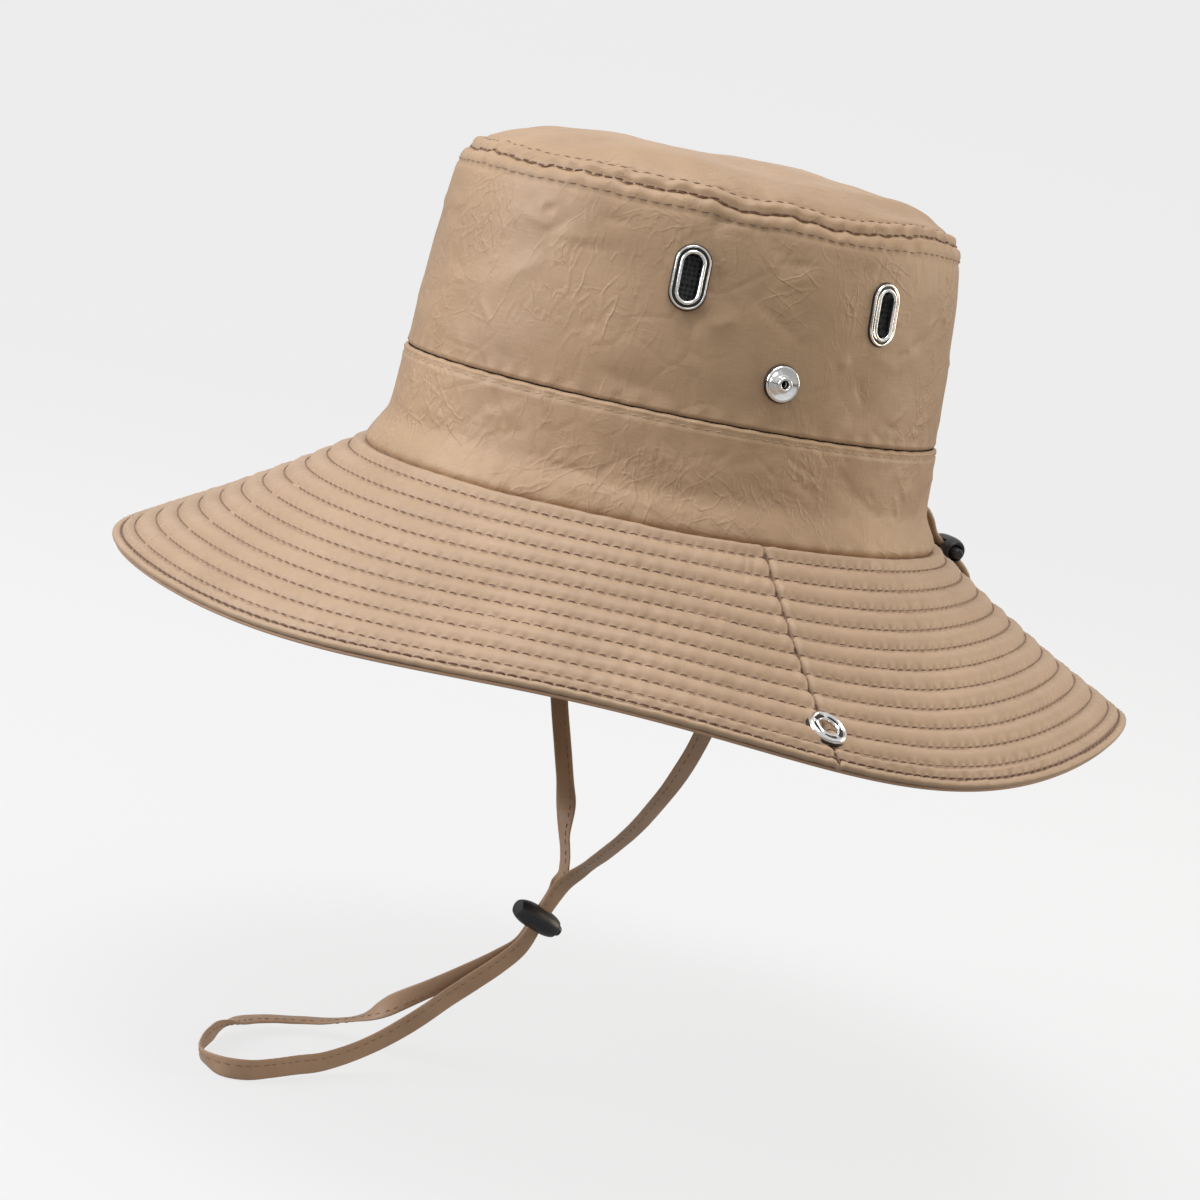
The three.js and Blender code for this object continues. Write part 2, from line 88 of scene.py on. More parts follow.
def camera_axes():
    """The camera's right, up and back directions, and its right before the roll."""
    a, e = math.radians(CAMERA["azimuth"]), math.radians(CAMERA["elevation"])
    back = Vector((math.sin(a) * math.cos(e), -math.cos(a) * math.cos(e), math.sin(e)))
    right = Vector((math.cos(a), math.sin(a), 0))
    up = back.cross(right)
    r = math.radians(CAMERA["roll"])
    return right * math.cos(r) + up * math.sin(r), up * math.cos(r) - right * math.sin(r), back, right


def make_camera():
    x, y, z, level = camera_axes()
    aim = Vector((0, 0, CAMERA["height"])) + level * CAMERA["side"]
    data = bpy.data.cameras.new("camera")
    data.lens = CAMERA["lens"]
    data.sensor_width = 36
    data.clip_start, data.clip_end = 0.01, 50
    obj = add_object("camera", data)
    rot = Matrix((x, y, z)).transposed().to_4x4()
    obj.matrix_world = Matrix.Translation((aim + z * CAMERA["distance"]) * MM) @ rot
    bpy.context.scene.camera = obj


make_camera()


# ---- material building -----------------------------------------------------
class Nodes:
    """Builds the node tree of a new material, or of a world, around its one shader."""

    def __init__(self, name, shader="Principled BSDF", kind=bpy.data.materials):
        self.owner = kind.new(name)
        self.owner.use_nodes = True
        self.tree = self.owner.node_tree
        self.shader = self.tree.nodes[shader]
        self.coord = self.tree.nodes.new("ShaderNodeTexCoord")

    def node(self, kind, inputs=None, **props):
        n = self.tree.nodes.new(kind)
        for k, v in props.items():
            setattr(n, k, v)
        for k, v in (inputs or {}).items():
            self.feed(n.inputs[k], v)
        return n

    def feed(self, socket, value):
        """Links a socket to another one, or sets it; a colour of three numbers gets its alpha."""
        if isinstance(value, bpy.types.NodeSocket):
            self.tree.links.new(value, socket)
        else:
            socket.default_value = (*value, 1) if socket.type == "RGBA" else value

    def noise(self, scale, detail=3.0, rough=0.5, where="Object", stretch=None):
        vec = self.coord.outputs[where]
        if stretch:
            vec = self.node("ShaderNodeMapping", {"Vector": vec, "Scale": stretch}).outputs[0]
        return self.node(
            "ShaderNodeTexNoise", {"Vector": vec, "Scale": scale, "Detail": detail, "Roughness": rough}
        ).outputs["Fac"]

    def ramp(self, fac, stops):
        n = self.node("ShaderNodeValToRGB", {"Fac": fac})
        el = n.color_ramp.elements
        while len(el) < len(stops):
            el.new(0.5)
        for e, (pos, col) in zip(el, stops):
            e.position = pos
            e.color = (*col, 1)
        return n.outputs["Color"]

    def math(self, op, a, b=0.0):
        return self.node("ShaderNodeMath", {0: a, 1: b}, operation=op).outputs[0]

    def range(self, value, low, high, to_low=0.0, to_high=1.0):
        inputs = {"Value": value, "From Min": low, "From Max": high, "To Min": to_low, "To Max": to_high}
        return self.node("ShaderNodeMapRange", inputs).outputs[0]

    def mix(self, fac, a, b):
        n = self.node("ShaderNodeMix", data_type="RGBA")
        for i, v in ((0, fac), (6, a), (7, b)):
            self.feed(n.inputs[i], v)
        return n.outputs[2]

    def bump(self, height, distance, strength=1.0, under=None):
        inputs = {"Height": height, "Distance": distance, "Strength": strength}
        if under is not None:
            inputs["Normal"] = under
        return self.node("ShaderNodeBump", inputs).outputs[0]

    def set(self, **values):
        for k, v in values.items():
            self.feed(self.shader.inputs[k.replace("_", " ")], v)
        return self.owner


def fine_wrinkles(n):
    """Clusters of short, thin, straight wrinkles running four ways across crisp light cloth."""
    total = 0.0
    for angle, scale in ((0.5, 110.0), (-0.6, 130.0), (1.2, 170.0), (-1.3, 95.0)):
        turned_uv = n.node("ShaderNodeMapping", {"Vector": n.coord.outputs["UV"], "Rotation": (0, 0, angle)})
        spot = n.node("ShaderNodeMapping", {"Vector": turned_uv.outputs[0], "Scale": (0.4, 1, 1)}).outputs[0]
        fac = n.node("ShaderNodeTexNoise", {"Vector": spot, "Scale": scale, "Detail": 2.0}).outputs["Fac"]
        crest = n.range(n.math("ABSOLUTE", n.math("SUBTRACT", fac, 0.5)), 0.0, 0.04, 1.0, 0.0)
        patch = n.range(n.noise(22 + scale / 10, 2), 0.48, 0.66)
        total = n.math("ADD", n.math("MULTIPLY", crest, patch), total)
    return total


def cloth_material(name, light, dark, crinkle=0.0002, wrinkles=0.0):
    """Light crinkled nylon: slubby threads both ways, faint creases, uneven dye."""
    n = Nodes(name)
    mid = n.noise(260, 4, 0.65)
    threads = [n.noise(1150, 3, 0.6, "UV", stretch) for stretch in ((0.1, 1, 1), (1, 0.1, 1))]
    slubs = n.math("MULTIPLY", n.math("ADD", *threads), 0.5)
    tone = n.ramp(n.noise(30, 3, 0.55), [(0.3, dark), (0.7, light)])
    deep, pale = tuple(c * 0.6 for c in dark), tuple(min(1, c * 1.5) for c in light)
    tone = n.mix(n.range(slubs, 0.42, 0.3), tone, n.mix(0.36, tone, deep))
    tone = n.mix(n.range(slubs, 0.55, 0.7), tone, n.mix(0.2, tone, pale))
    tone = n.mix(n.math("MULTIPLY", mid, 0.12), tone, deep)
    inputs = {"Vector": n.coord.outputs["Object"], "Scale": 75.0}
    facets = n.node("ShaderNodeTexVoronoi", inputs, feature="DISTANCE_TO_EDGE")
    edge, patch = n.range(facets.outputs["Distance"], 0.0, 0.12), n.range(n.noise(24, 2), 0.45, 0.7)
    normal = n.bump(n.math("MULTIPLY", edge, patch), crinkle, 0.5)
    normal = n.bump(mid, crinkle, 0.3, normal)
    if wrinkles:
        normal = n.bump(fine_wrinkles(n), wrinkles, 0.6, normal)
    return n.set(
        Base_Color=tone, Roughness=n.range(mid, 0.0, 1.0, 0.44, 0.62), Sheen_Weight=0.08,
        Sheen_Roughness=0.45, Specular_IOR_Level=0.45, Normal=n.bump(slubs, 0.000132, 0.8, normal),
    )


def thread_material(name, color):
    n = Nodes(name)
    twist = n.noise(2600, 2, 0.5)
    tone = n.ramp(twist, [(0.3, tuple(c * 0.7 for c in color)), (0.7, color)])
    return n.set(Base_Color=tone, Roughness=0.6, Normal=n.bump(twist, 0.00008), Sheen_Weight=0.2)


def metal_material(name, color, roughness):
    n = Nodes(name)
    smear = n.noise(900, 3, 0.6)
    scratches = n.noise(300, 5, 0.7, stretch=(1, 1, 14))
    tone = n.ramp(smear, [(0.2, tuple(c * 0.86 for c in color)), (0.7, color)])
    return n.set(
        Base_Color=tone, Metallic=1.0, Roughness=n.range(smear, 0.0, 1.0, roughness * 0.7, roughness * 1.5),
        Normal=n.bump(scratches, 0.00002, 0.4),
    )


def plastic_material(name, color):
    n = Nodes(name)
    grain = n.noise(1400, 3, 0.6)
    rough = n.range(n.noise(120, 2), 0.0, 1.0, 0.3, 0.46)
    tone = n.ramp(grain, [(0.3, color), (0.8, tuple(c * 1.9 + 0.004 for c in color))])
    return n.set(Base_Color=tone, Roughness=rough, Normal=n.bump(grain, 0.00003, 0.5))


def gauze_material(name):
    n = Nodes(name)
    inputs = {"Vector": n.coord.outputs["UV"], "Scale": 620.0, "Randomness": 0.25}
    cells = n.node("ShaderNodeTexVoronoi", inputs).outputs["Distance"]
    holes = n.ramp(cells, [(0.28, (0.002, 0.002, 0.002)), (0.5, (0.045, 0.05, 0.047))])
    return n.set(Base_Color=holes, Roughness=0.55, Normal=n.bump(cells, 0.0006, 0.9), Sheen_Weight=0.1)


MATS = {
    "shell": cloth_material("shell_cloth", (0.44, 0.288, 0.168), (0.365, 0.234, 0.134), 0.0004, 0.00024),
    "brim": cloth_material("brim_cloth", (0.435, 0.295, 0.186), (0.375, 0.25, 0.152)),
    "under": cloth_material("under_cloth", (0.5, 0.31, 0.19), (0.42, 0.255, 0.155)),
    "inner": cloth_material("sweatband_cloth", (0.42, 0.28, 0.17), (0.36, 0.235, 0.14)),
    "strap": cloth_material("strap_cloth", (0.47, 0.3, 0.187), (0.37, 0.228, 0.138), 0.0003),
    "cord": cloth_material("cord_braid", (0.36, 0.25, 0.15), (0.27, 0.18, 0.11), 0.0003),
    "thread": thread_material("dark_thread", (0.16, 0.075, 0.04)),
    "thread_row": thread_material("brown_thread", (0.2, 0.11, 0.066)),
    "thread_light": thread_material("light_thread", (0.5, 0.36, 0.23)),
    "thread_mid": thread_material("mid_thread", (0.24, 0.15, 0.09)),
    "chrome": metal_material("chrome", (0.93, 0.93, 0.92), 0.12),
    # painted shadow: near-black metal for the rings that stand for the shade in the fittings' grooves and
    # round their edges against the cloth
    "dark_metal": metal_material("painted_shadow_metal", (0.06, 0.055, 0.05), 0.4),
    "steel": metal_material("spring_wire", (0.55, 0.56, 0.58), 0.3),
    "black": plastic_material("black_nylon", (0.012, 0.012, 0.014)),
    "gauze": gauze_material("black_gauze"),
}


# ---- mesh helpers ----------------------------------------------------------
def link_mesh(name, verts, faces, material, uvs=None, wrap=0.0):
    """A mesh object from points in millimetres.

    uvs are per vertex, in metres; wrap is how far round u goes before it starts again.
    """
    mesh = bpy.data.meshes.new(name)
    co = np.asarray(verts, float).reshape(-1, 3) * MM
    faces = np.asarray(faces, np.int32)
    size = faces.shape[1]
    mesh.vertices.add(len(co))
    mesh.vertices.foreach_set("co", co.ravel())
    mesh.loops.add(faces.size)
    mesh.loops.foreach_set("vertex_index", faces.ravel())
    mesh.polygons.add(len(faces))
    mesh.polygons.foreach_set("loop_start", np.arange(0, faces.size, size, dtype=np.int32))
    mesh.update(calc_edges=True)
    mesh.polygons.foreach_set("use_smooth", [True] * len(faces))
    if uvs is not None:
        layer = mesh.uv_layers.new(name="cloth")
        corners = np.asarray(uvs, float).reshape(-1, 2)[faces]
        if wrap:
            u = corners[..., 0]
            u += wrap * (u.max(axis=1, keepdims=True) - u > wrap / 2)
        layer.data.foreach_set("uv", corners.ravel())
    mesh.materials.append(MATS[material])
    return add_object(name, mesh)


def finish_piece(obj, body, nodes=()):
    """Rides a piece on its body and the CAD nodes that it stands for."""
    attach(obj, body)
    if nodes:
        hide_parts(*nodes)
    return obj


def grid_faces(nu, nv, close_u=False, close_v=False, start=0):
    """Four-sided faces between the points of a grid, joined up round either way."""
    u = np.arange(nu if close_u else nu - 1)
    v = np.arange(nv if close_v else nv - 1)
    U, W = np.meshgrid(u, v, indexing="ij")
    a = U * nv + W
    b = ((U + 1) % nu) * nv + W
    c = ((U + 1) % nu) * nv + (W + 1) % nv
    d = U * nv + (W + 1) % nv
    return np.stack([a, b, c, d], -1).reshape(-1, 4) + start


def ring_grid(profile, segs):
    """Points of a closed or open (radius, height) outline turned round the axis."""
    a = np.linspace(0, TAU, segs, endpoint=False)[:, None]
    r, z = profile[None, :, 0], profile[None, :, 1]
    return np.stack([r * np.cos(a), r * np.sin(a), z + 0 * a], -1)


def grid_uv(P):
    """Distances along and across a grid of points, for its UV map."""
    du = np.linalg.norm(np.diff(P, axis=0), axis=-1).mean(axis=1)
    dv = np.linalg.norm(np.diff(P, axis=1), axis=-1).mean(axis=0)
    u = np.concatenate([[0], np.cumsum(du)])
    v = np.concatenate([[0], np.cumsum(dv)])
    return np.stack(np.meshgrid(u, v, indexing="ij"), -1) * MM


def normals_of(P, close_u=False):
    if close_u:
        du = np.roll(P, -1, 0) - np.roll(P, 1, 0)
    else:
        du = np.gradient(P, axis=0)
    dv = np.gradient(P, axis=1)
    return unit(np.cross(du, dv))


def hole_rims(cells, nu, nv):
    """Faces that close the rims of the cells left out of a ring of cloth."""
    off = nu * nv
    walls = []
    for u, v in np.argwhere(cells):
        w = (u + 1) % nu
        corner = (u * nv + v, w * nv + v, w * nv + v + 1, u * nv + v + 1)
        around = [((u, v - 1), 0, 1), ((w, v), 1, 2), ((u, v + 1), 2, 3), (((u - 1) % nu, v), 3, 0)]
        for (uu, vv), a, b in around:
            if 0 <= vv < nv - 1 and not cells[uu, vv]:
                a, b = corner[a], corner[b]
                walls.append(np.array([[a, b, off + b, off + a]]))
    return walls


def cloth_piece(name, P, material, thick, ring=False, flip=False, holes=None):
    """A sheet of cloth from a grid of its outer face, with its back face and edges.

    ring joins the grid's first and last rows; holes marks the grid cells to leave out.
    """
    nu, nv = P.shape[:2]
    off = nu * nv
    Q = P - normals_of(P, ring) * (-thick if flip else thick)
    us = np.arange(nu if ring else nu - 1)
    nxt = (us + 1) % nu
    e = nv - 1
    cells = np.zeros((len(us), e), bool) if holes is None else holes
    keep = ~cells.reshape(-1)
    faces = [
        grid_faces(nu, nv, ring)[keep],
        grid_faces(nu, nv, ring, start=off)[keep][:, ::-1],
        np.stack([us * nv, off + us * nv, off + nxt * nv, nxt * nv], -1),
        np.stack([us * nv + e, nxt * nv + e, off + nxt * nv + e, off + us * nv + e], -1),
        *hole_rims(cells, nu, nv),
    ]
    if not ring:
        vs = np.arange(e)
        last = off - nv
        faces.append(np.stack([vs, vs + 1, off + vs + 1, off + vs], -1))
        faces.append(np.stack([last + vs, off + last + vs, off + last + vs + 1, last + vs + 1], -1))
    faces = np.concatenate(faces)
    uv = grid_uv(np.concatenate([P, P[:1]]) if ring else P)
    wrap = float(uv[-1, 0, 0]) if ring else 0.0
    uv = uv[:nu].reshape(-1, 2)
    return link_mesh(
        name, np.concatenate([P.reshape(-1, 3), Q.reshape(-1, 3)]), faces[:, ::-1] if flip else faces,
        material, np.concatenate([uv, uv]), wrap=wrap,
    )


def unit(v):
    return v / np.maximum(np.linalg.norm(v, axis=-1, keepdims=True), 1e-9)


def bell(x, middle, width):
    """1 at the middle, falling smoothly to 0 on both sides."""
    return np.exp(-((x - middle) / width) ** 2)


def arc_length(P):
    return np.concatenate([[0], np.cumsum(np.linalg.norm(np.diff(P, axis=0), axis=1))])


def noise_at(P, size, seed):
    """Smooth noise from -1 to 1 at each point, with features about size mm across."""
    flat = np.asarray(P, float).reshape(-1, 3) / size + seed
    return np.array([noise.noise(p) for p in flat]).reshape(np.shape(P)[:-1])


def smooth(x, a, b):
    """0 before a, 1 after b, and a smooth step between them."""
    t = np.clip((np.asarray(x, float) - a) / (b - a), 0, 1)
    return t * t * (3 - 2 * t)


# ---- the hat's surfaces ----------------------------------------------------
def wall_r(z):
    return sum(np.interp(np.asarray(z) + d, WALL_Z, WALL_R) for d in (-2, -1, 0, 1, 2)) / 5


def oval_point(r, oval, t, z):
    r, oval, t, z = np.broadcast_arrays(r, oval, t, z)
    return np.stack([r * np.cos(t), (r + oval) * np.sin(t), z], -1)


def wall_grid(t, zs, inset=0.0):
    """Points of the crown wall for a column of angles and a row of heights, moved in by inset."""
    return oval_point(wall_r(zs) - inset, OVAL, t, zs + 0 * t)


def brim_drop(t):
    return (
        44.2 + 0.3 * np.sin(t) + 1.7 * np.cos(2 * t) + 2.3 * np.sin(3 * t)
        + 2.0 * np.cos(4 * t) + 2.9 * np.sin(5 * t)
    )


def brim_point(t, s, up=0.0):
    """Point on the brim: s from join (0) to edge (1), up from its upper face along the normal."""
    t, s, up = np.broadcast_arrays(t, s, up)
    drop = brim_drop(t)
    run = BRIM_OUT - BRIM_IN
    slope = np.arctan2(drop, run)
    r = BRIM_IN + run * s + up * np.sin(slope)
    oval = OVAL_IN + (OVAL_OUT - OVAL_IN) * s
    z = -drop * s + BOW * 4 * s * (1 - s) + up * np.cos(slope)
    return oval_point(r, oval, t, z)


def crease_field(P, creases):
    """Sum of soft grooves (negative) or ridges (positive) along listed segments."""
    h = np.zeros(P.shape[:-1])
    for a, b, depth, width in creases:
        a, b = np.array(a, float), np.array(b, float)
        d = b - a
        t = np.clip(((P - a) @ d) / (d @ d), 0, 1)
        dist = np.linalg.norm(P - (a + t[..., None] * d), axis=-1)
        crest = 0.6 * np.exp(-dist / (0.55 * width)) + 0.4 * np.exp(-(dist / width) ** 2)
        h += depth * crest * (1 - (2 * t - 1) ** 2)
    return h


# ---- cords first -----------------------------------------------------------
STRAP_WIDE, STRAP_THICK, STRAP_PITCH = 7.0, 1.3, 0.85
CORD_DIA, CORD_Z, CORD_INSET, CORD_PITCH = 2.4, 11.0, 2.6, 1.4


def along(lock, t, x):
    side = np.array(lock["button"], float) if lock["button"][0] else np.array([1.0, 0, 0])
    return tuple(np.array(lock["at"]) + side * x + np.array(lock["cord"]) * t)


STRAP_ROUTE = [
    (79.3, 0, 13), (80, 0, 8), (83.2, 0, 2), (84.4, 0, -6), (85, -0.8, -20), (85, -1.8, -36),
    (83.5, -2.4, -51), (79, -2.8, -65), (70, -2.9, -80), (57.5, -2.4, -94), (43, -1.6, -107.5),
    (21, -1, -124.5), (7, -1, -134.5),
    *(along(LOCK_CHIN, d, STRAP_PITCH) for d in (-14, 0, 11)),
    (1.2, -20.5, -171.5), (1.5, -28, -177.5), (2, -36.5, -184), (2.6, -45, -191), (3.2, -54, -197.5),
    (4.2, -63, -202.6), (6, -72, -206), (8.4, -81, -208), (11.4, -90.5, -208.3), (15.4, -100, -208.3),
    (18, -109, -208.3), (15.8, -117, -208.3), (8.4, -121.4, -208.3), (-1.6, -120, -208.3),
    (-12, -114.4, -208.3), (-22, -106.5, -208.3), (-28.4, -97.5, -208.3), (-31, -87.5, -208.3),
    (-30, -77.5, -207.8), (-26, -68.6, -206), (-19, -61.6, -202), (-12, -56.4, -196.2),
    (-6.4, -50.6, -189.6), (-3.2, -43.4, -184), (-1.8, -35.6, -179.2), (-1.1, -27.6, -174.4),
    (-0.95, -20.2, -169.8),
    *(along(LOCK_CHIN, d, -STRAP_PITCH) for d in (11, 0, -14)),
    (-4, -1.4, -134), (-10, -0.8, -126), (-17, 0.4, -116.5), (-28.5, 1.2, -103.5), (-42.5, 1.8, -88),
    (-57, 2, -68), (-69.5, 1.8, -47), (-79, 1.1, -25), (-83.2, 0.4, -10), (-84.2, 0, -4), (-83.2, 0, 2),
    (-80, 0, 8), (-79.3, 0, 13),
]


def channel_points(side):
    t = np.linspace(0.14, 1.38, 14)
    r = np.interp(CORD_Z, WALL_Z, WALL_R) - CORD_INSET
    return [(side * r * math.cos(a), (r + OVAL) * math.sin(a), CORD_Z) for a in t]


REAR_OUT = [(6.2, 98.4, 11), (5, 103.2, 10.1), (3.1, 107.8, 6.4), (1.7, 111, 2.1)]
REAR_LOOP = [
    (1.3, 126.8, -9.9), (-0.8, 130.6, -13.4), (-5.5, 133.2, -16.9), (-11.5, 133.6, -18.5),
    (-16.2, 131, -17.2), (-16.4, 126.8, -14.5), (-12, 124.6, -12), (-6.6, 125.6, -10.4),
]
CORD_ROUTE = (
    channel_points(1) + [(10.2, 94.2, 11)] + REAR_OUT
    + [along(LOCK_REAR, -5.2, CORD_PITCH), along(LOCK_REAR, 5.2, CORD_PITCH)] + REAR_LOOP
    + [along(LOCK_REAR, 5.2, -CORD_PITCH), along(LOCK_REAR, -5.2, -CORD_PITCH)]
    + [(-x, y, z) for x, y, z in reversed(REAR_OUT)] + [(-10.2, 94.2, 11)] + channel_points(-1)[::-1]
)


def smooth_path(route, step):
    """Centripetal Catmull-Rom through the route, resampled about every step mm."""
    p = np.array(route, float)
    p = np.vstack([2 * p[0] - p[1], p, 2 * p[-1] - p[-2]])
    out = []
    for i in range(1, len(p) - 2):
        a, b, c, d = p[i - 1:i + 3]
        t = np.cumsum([0] + [max(np.linalg.norm(v) ** 0.5, 1e-4) for v in (b - a, c - b, d - c)])
        s = np.linspace(t[1], t[2], 24, endpoint=False)[:, None]
        a1 = (t[1] - s) / (t[1] - t[0]) * a + (s - t[0]) / (t[1] - t[0]) * b
        a2 = (t[2] - s) / (t[2] - t[1]) * b + (s - t[1]) / (t[2] - t[1]) * c
        a3 = (t[3] - s) / (t[3] - t[2]) * c + (s - t[2]) / (t[3] - t[2]) * d
        b1 = (t[2] - s) / (t[2] - t[0]) * a1 + (s - t[0]) / (t[2] - t[0]) * a2
        b2 = (t[3] - s) / (t[3] - t[1]) * a2 + (s - t[1]) / (t[3] - t[1]) * a3
        out.append((t[2] - s) / (t[2] - t[1]) * b1 + (s - t[1]) / (t[2] - t[1]) * b2)
    out = np.vstack([*out, p[-2:-1]])
    arc = arc_length(out)
    want = np.linspace(0, arc[-1], int(arc[-1] / step) + 1)
    return np.stack([np.interp(want, arc, out[:, k]) for k in range(3)], -1), want


def swept_mesh(name, centre, wide, section, material, arc):
    """A closed tube: section(i) gives points as (thick, wide) offsets round each centre."""
    tangent = unit(np.gradient(centre, axis=0))
    wide = unit(wide - (wide * tangent).sum(-1, keepdims=True) * tangent)
    thin = np.cross(wide, tangent)
    rows, uvs = [], []
    for i, c in enumerate(centre):
        sec = section(i)
        rows.append(c + sec[:, :1] * thin[i] + sec[:, 1:2] * wide[i])
        uvs.append(np.stack([np.full(len(sec), arc[i]), sec[:, 1] + 0.5 * sec[:, 0]], -1) * MM)
    faces = grid_faces(len(rows), len(rows[0]), close_v=True)
    obj = link_mesh(name, np.concatenate(rows), faces, material, np.concatenate(uvs))
    bm = bmesh.new()
    bm.from_mesh(obj.data)
    bmesh.ops.holes_fill(bm, edges=[e for e in bm.edges if e.is_boundary], sides=0)
    bmesh.ops.recalc_face_normals(bm, faces=bm.faces)
    bm.to_mesh(obj.data)
    bm.free()
    return obj, tangent, wide, thin


def strap_frame():
    """The strap's middle line, the distance along it, and which way its width points."""
    centre, arc = smooth_path(STRAP_ROUTE, 1.0)
    u = arc / arc[-1]
    tangent = unit(np.gradient(centre, axis=0))
    hang = np.cross([1.0, 0, 0], tangent) * np.where(u < 0.5, 1, -1)[:, None]
    lying = np.array([0, 0, -1.0])
    k = smooth(-centre[:, 2], 188, 204)[:, None]
    wide = unit(unit(hang) * (1 - k) + lying * k)

    def arc_at(point):
        return arc[np.argmin(np.linalg.norm(centre - np.array(point, float), axis=1))]

    # the strap shows its edge in the far strand, and in the far leg just above the lock
    loop, leg, end = arc_at((-19, -61.6, -202)), arc_at((-13, 0.5, -121)), arc_at((8.4, -121.4, -208.3))
    turn = -math.pi / 2 * (smooth(arc, loop - 62, loop - 42) + smooth(arc, loop - 4, loop + 34))
    turn += math.pi / 2 * smooth(arc, leg - 28, leg - 18) * (1 - smooth(arc, leg - 9, leg + 17))
    turn += 0.5 * bell(arc, end, 7)
    thin = np.cross(wide, tangent)
    wide = wide * np.cos(turn)[:, None] + thin * np.sin(turn)[:, None]
    return centre, arc, wide


def make_strap():
    centre, arc, wide = strap_frame()
    lock = np.array(LOCK_CHIN["at"])
    near = np.linalg.norm(centre - lock, axis=1)
    pinch = bell(near, 0, 11)
    squeeze = 1 - 0.26 * pinch
    ripple = 1 + 0.04 * noise_at(centre, 17, 3.0)
    angles = np.linspace(0, TAU, 20, endpoint=False)
    flat = np.sign(np.cos(angles)) * np.abs(np.cos(angles)) ** 0.55
    tall = np.sign(np.sin(angles)) * np.abs(np.sin(angles)) ** 0.8
    soft = noise_at(centre, 9, 8.0)

    def section(i):
        w = STRAP_WIDE / 2 * squeeze[i] * ripple[i]
        t = STRAP_THICK / 2 * (1 + 0.25 * pinch[i])
        dent = 0.16 * soft[i] * np.sin(angles * 2)
        return np.stack([(flat * t + dent) * (0.92 + 0.08 * np.cos(angles * 2)), tall * w], -1)

    obj, tangent, wide, thin = swept_mesh("chin_strap_cloth", centre, wide, section, "strap", arc)
    finish_piece(obj, "hat", ["chin_strap"])
    return obj, centre, arc, wide, thin, tangent


def make_cord():
    centre, arc = smooth_path(CORD_ROUTE, 1.0)
    up = np.tile([0, 0, 1.0], (len(centre), 1))
    angles = np.linspace(0, TAU, 14, endpoint=False)

    def section(i):
        r = CORD_DIA / 2 * (1 + 0.05 * np.cos(angles * 7 + arc[i] * 3.4))
        return np.stack([r * np.cos(angles), r * np.sin(angles)], -1)

    obj = swept_mesh("rear_drawcord_braid", centre, up, section, "cord", arc)[0]
    return finish_piece(obj, "hat", ["rear_drawcord"]), centre, arc


strap, strap_c, strap_arc, strap_wide, strap_thin, strap_tan = make_strap()
cord, cord_c, cord_arc = make_cord()


# ---- stitches --------------------------------------------------------------
STITCH_PITCH, CROWN_PITCH, BAND_PITCH, STRAP_STITCH = 3.5, 3.9, 3.6, 3.4


def stitch_mesh(name, mids, directions, normals, length, radius, material, sink=0.3):
    """Short arched threads; all arguments are arrays, one row per stitch."""
    mids, directions, normals = (np.asarray(a, float) for a in (mids, directions, normals))
    directions = unit(directions)
    normals = unit(normals - (normals * directions).sum(-1, keepdims=True) * directions)
    side = np.cross(directions, normals)
    half = [(-0.5, 0.35, -sink), (-0.36, 0.85, -0.1)]
    stops = [*half, (0.0, 1.0, 0.06), *((-u, thick, lift) for u, thick, lift in half[::-1])]
    ring = np.linspace(0, TAU, 6, endpoint=False)
    verts = []
    for along_, thick, lift in stops:
        base = mids + directions * (along_ * length) + normals * lift
        for a in ring:
            off = side * (math.cos(a) * radius * thick) + normals * (math.sin(a) * radius * thick)
            verts.append(base + off)
    verts = np.stack(verts, 1)
    n, per = verts.shape[:2]
    body = grid_faces(5, 6, close_v=True)
    ends = np.array([[0, 5, 4, 1], [1, 4, 3, 2], [24, 25, 28, 29], [25, 26, 27, 28]])
    one = np.concatenate([body[:, ::-1], ends[:, ::-1]])
    faces = (one[None] + np.arange(n)[:, None, None] * per).reshape(-1, 4)
    return link_mesh(name, verts.reshape(-1, 3), faces, material)


# ---- crown -----------------------------------------------------------------
CREASES = [
    ((70, -24, 101), (70, -33, 92), -1.3, 2.6), ((73, -20, 99), (76, -2, 84), -0.7, 3.5),
    ((76, -18, 60), (72, -46, 82), 0.7, 5.0), ((77, -12, 58), (77, -3, 38), -0.8, 3.0),
    ((76.5, 6, 62), (76, -18, 76), -0.6, 2.4), ((60, -60, 44), (74, -30, 38), -0.8, 3.5),
    ((78, -10, 20), (78, 12, 8), -0.9, 3.0), ((72, -40, 26), (78, -22, 12), 0.9, 4.0),
    ((64, -62, 28), (74, -44, 14), -0.9, 3.4), ((76, 24, 40), (72, 42, 52), -0.7, 3.5),
    ((68, 50, 92), (72, 38, 70), 0.6, 4.0), ((78, 22, 24), (70, 50, 12), -0.7, 3.5),
    ((40, 84, 24), (52, 76, 12), -1.0, 3.5), ((30, -82, 60), (46, -76, 74), 0.8, 5.0),
    ((-60, -60, 44), (-74, -30, 56), -0.9, 3.5), ((-74, 20, 84), (-70, 44, 62), 0.9, 4.5),
    ((-20, 88, 80), (10, 90, 62), -0.9, 4.0), ((-40, -82, 24), (-20, -92, 12), -0.9, 3.5),
]


SEAM_WAVE = [
    (-110, 0.2), (-96, -0.4), (-82, 0.6), (-66, -0.6), (-50, 0.3), (-36, -0.3), (-25, 0.5), (-20, 0.1),
    (-17, -1.6), (-11, -1.4), (-6, 0.0), (1, -0.8), (7, -1.6), (15, -0.9), (24, 0.6), (36, 2.3),
    (52, 1.1), (72, 0.2), (90, -0.6), (112, 0.5), (134, -0.7), (158, 0.6), (180, -0.3), (200, 0.9),
    (222, -0.8), (236, 0.4),
]


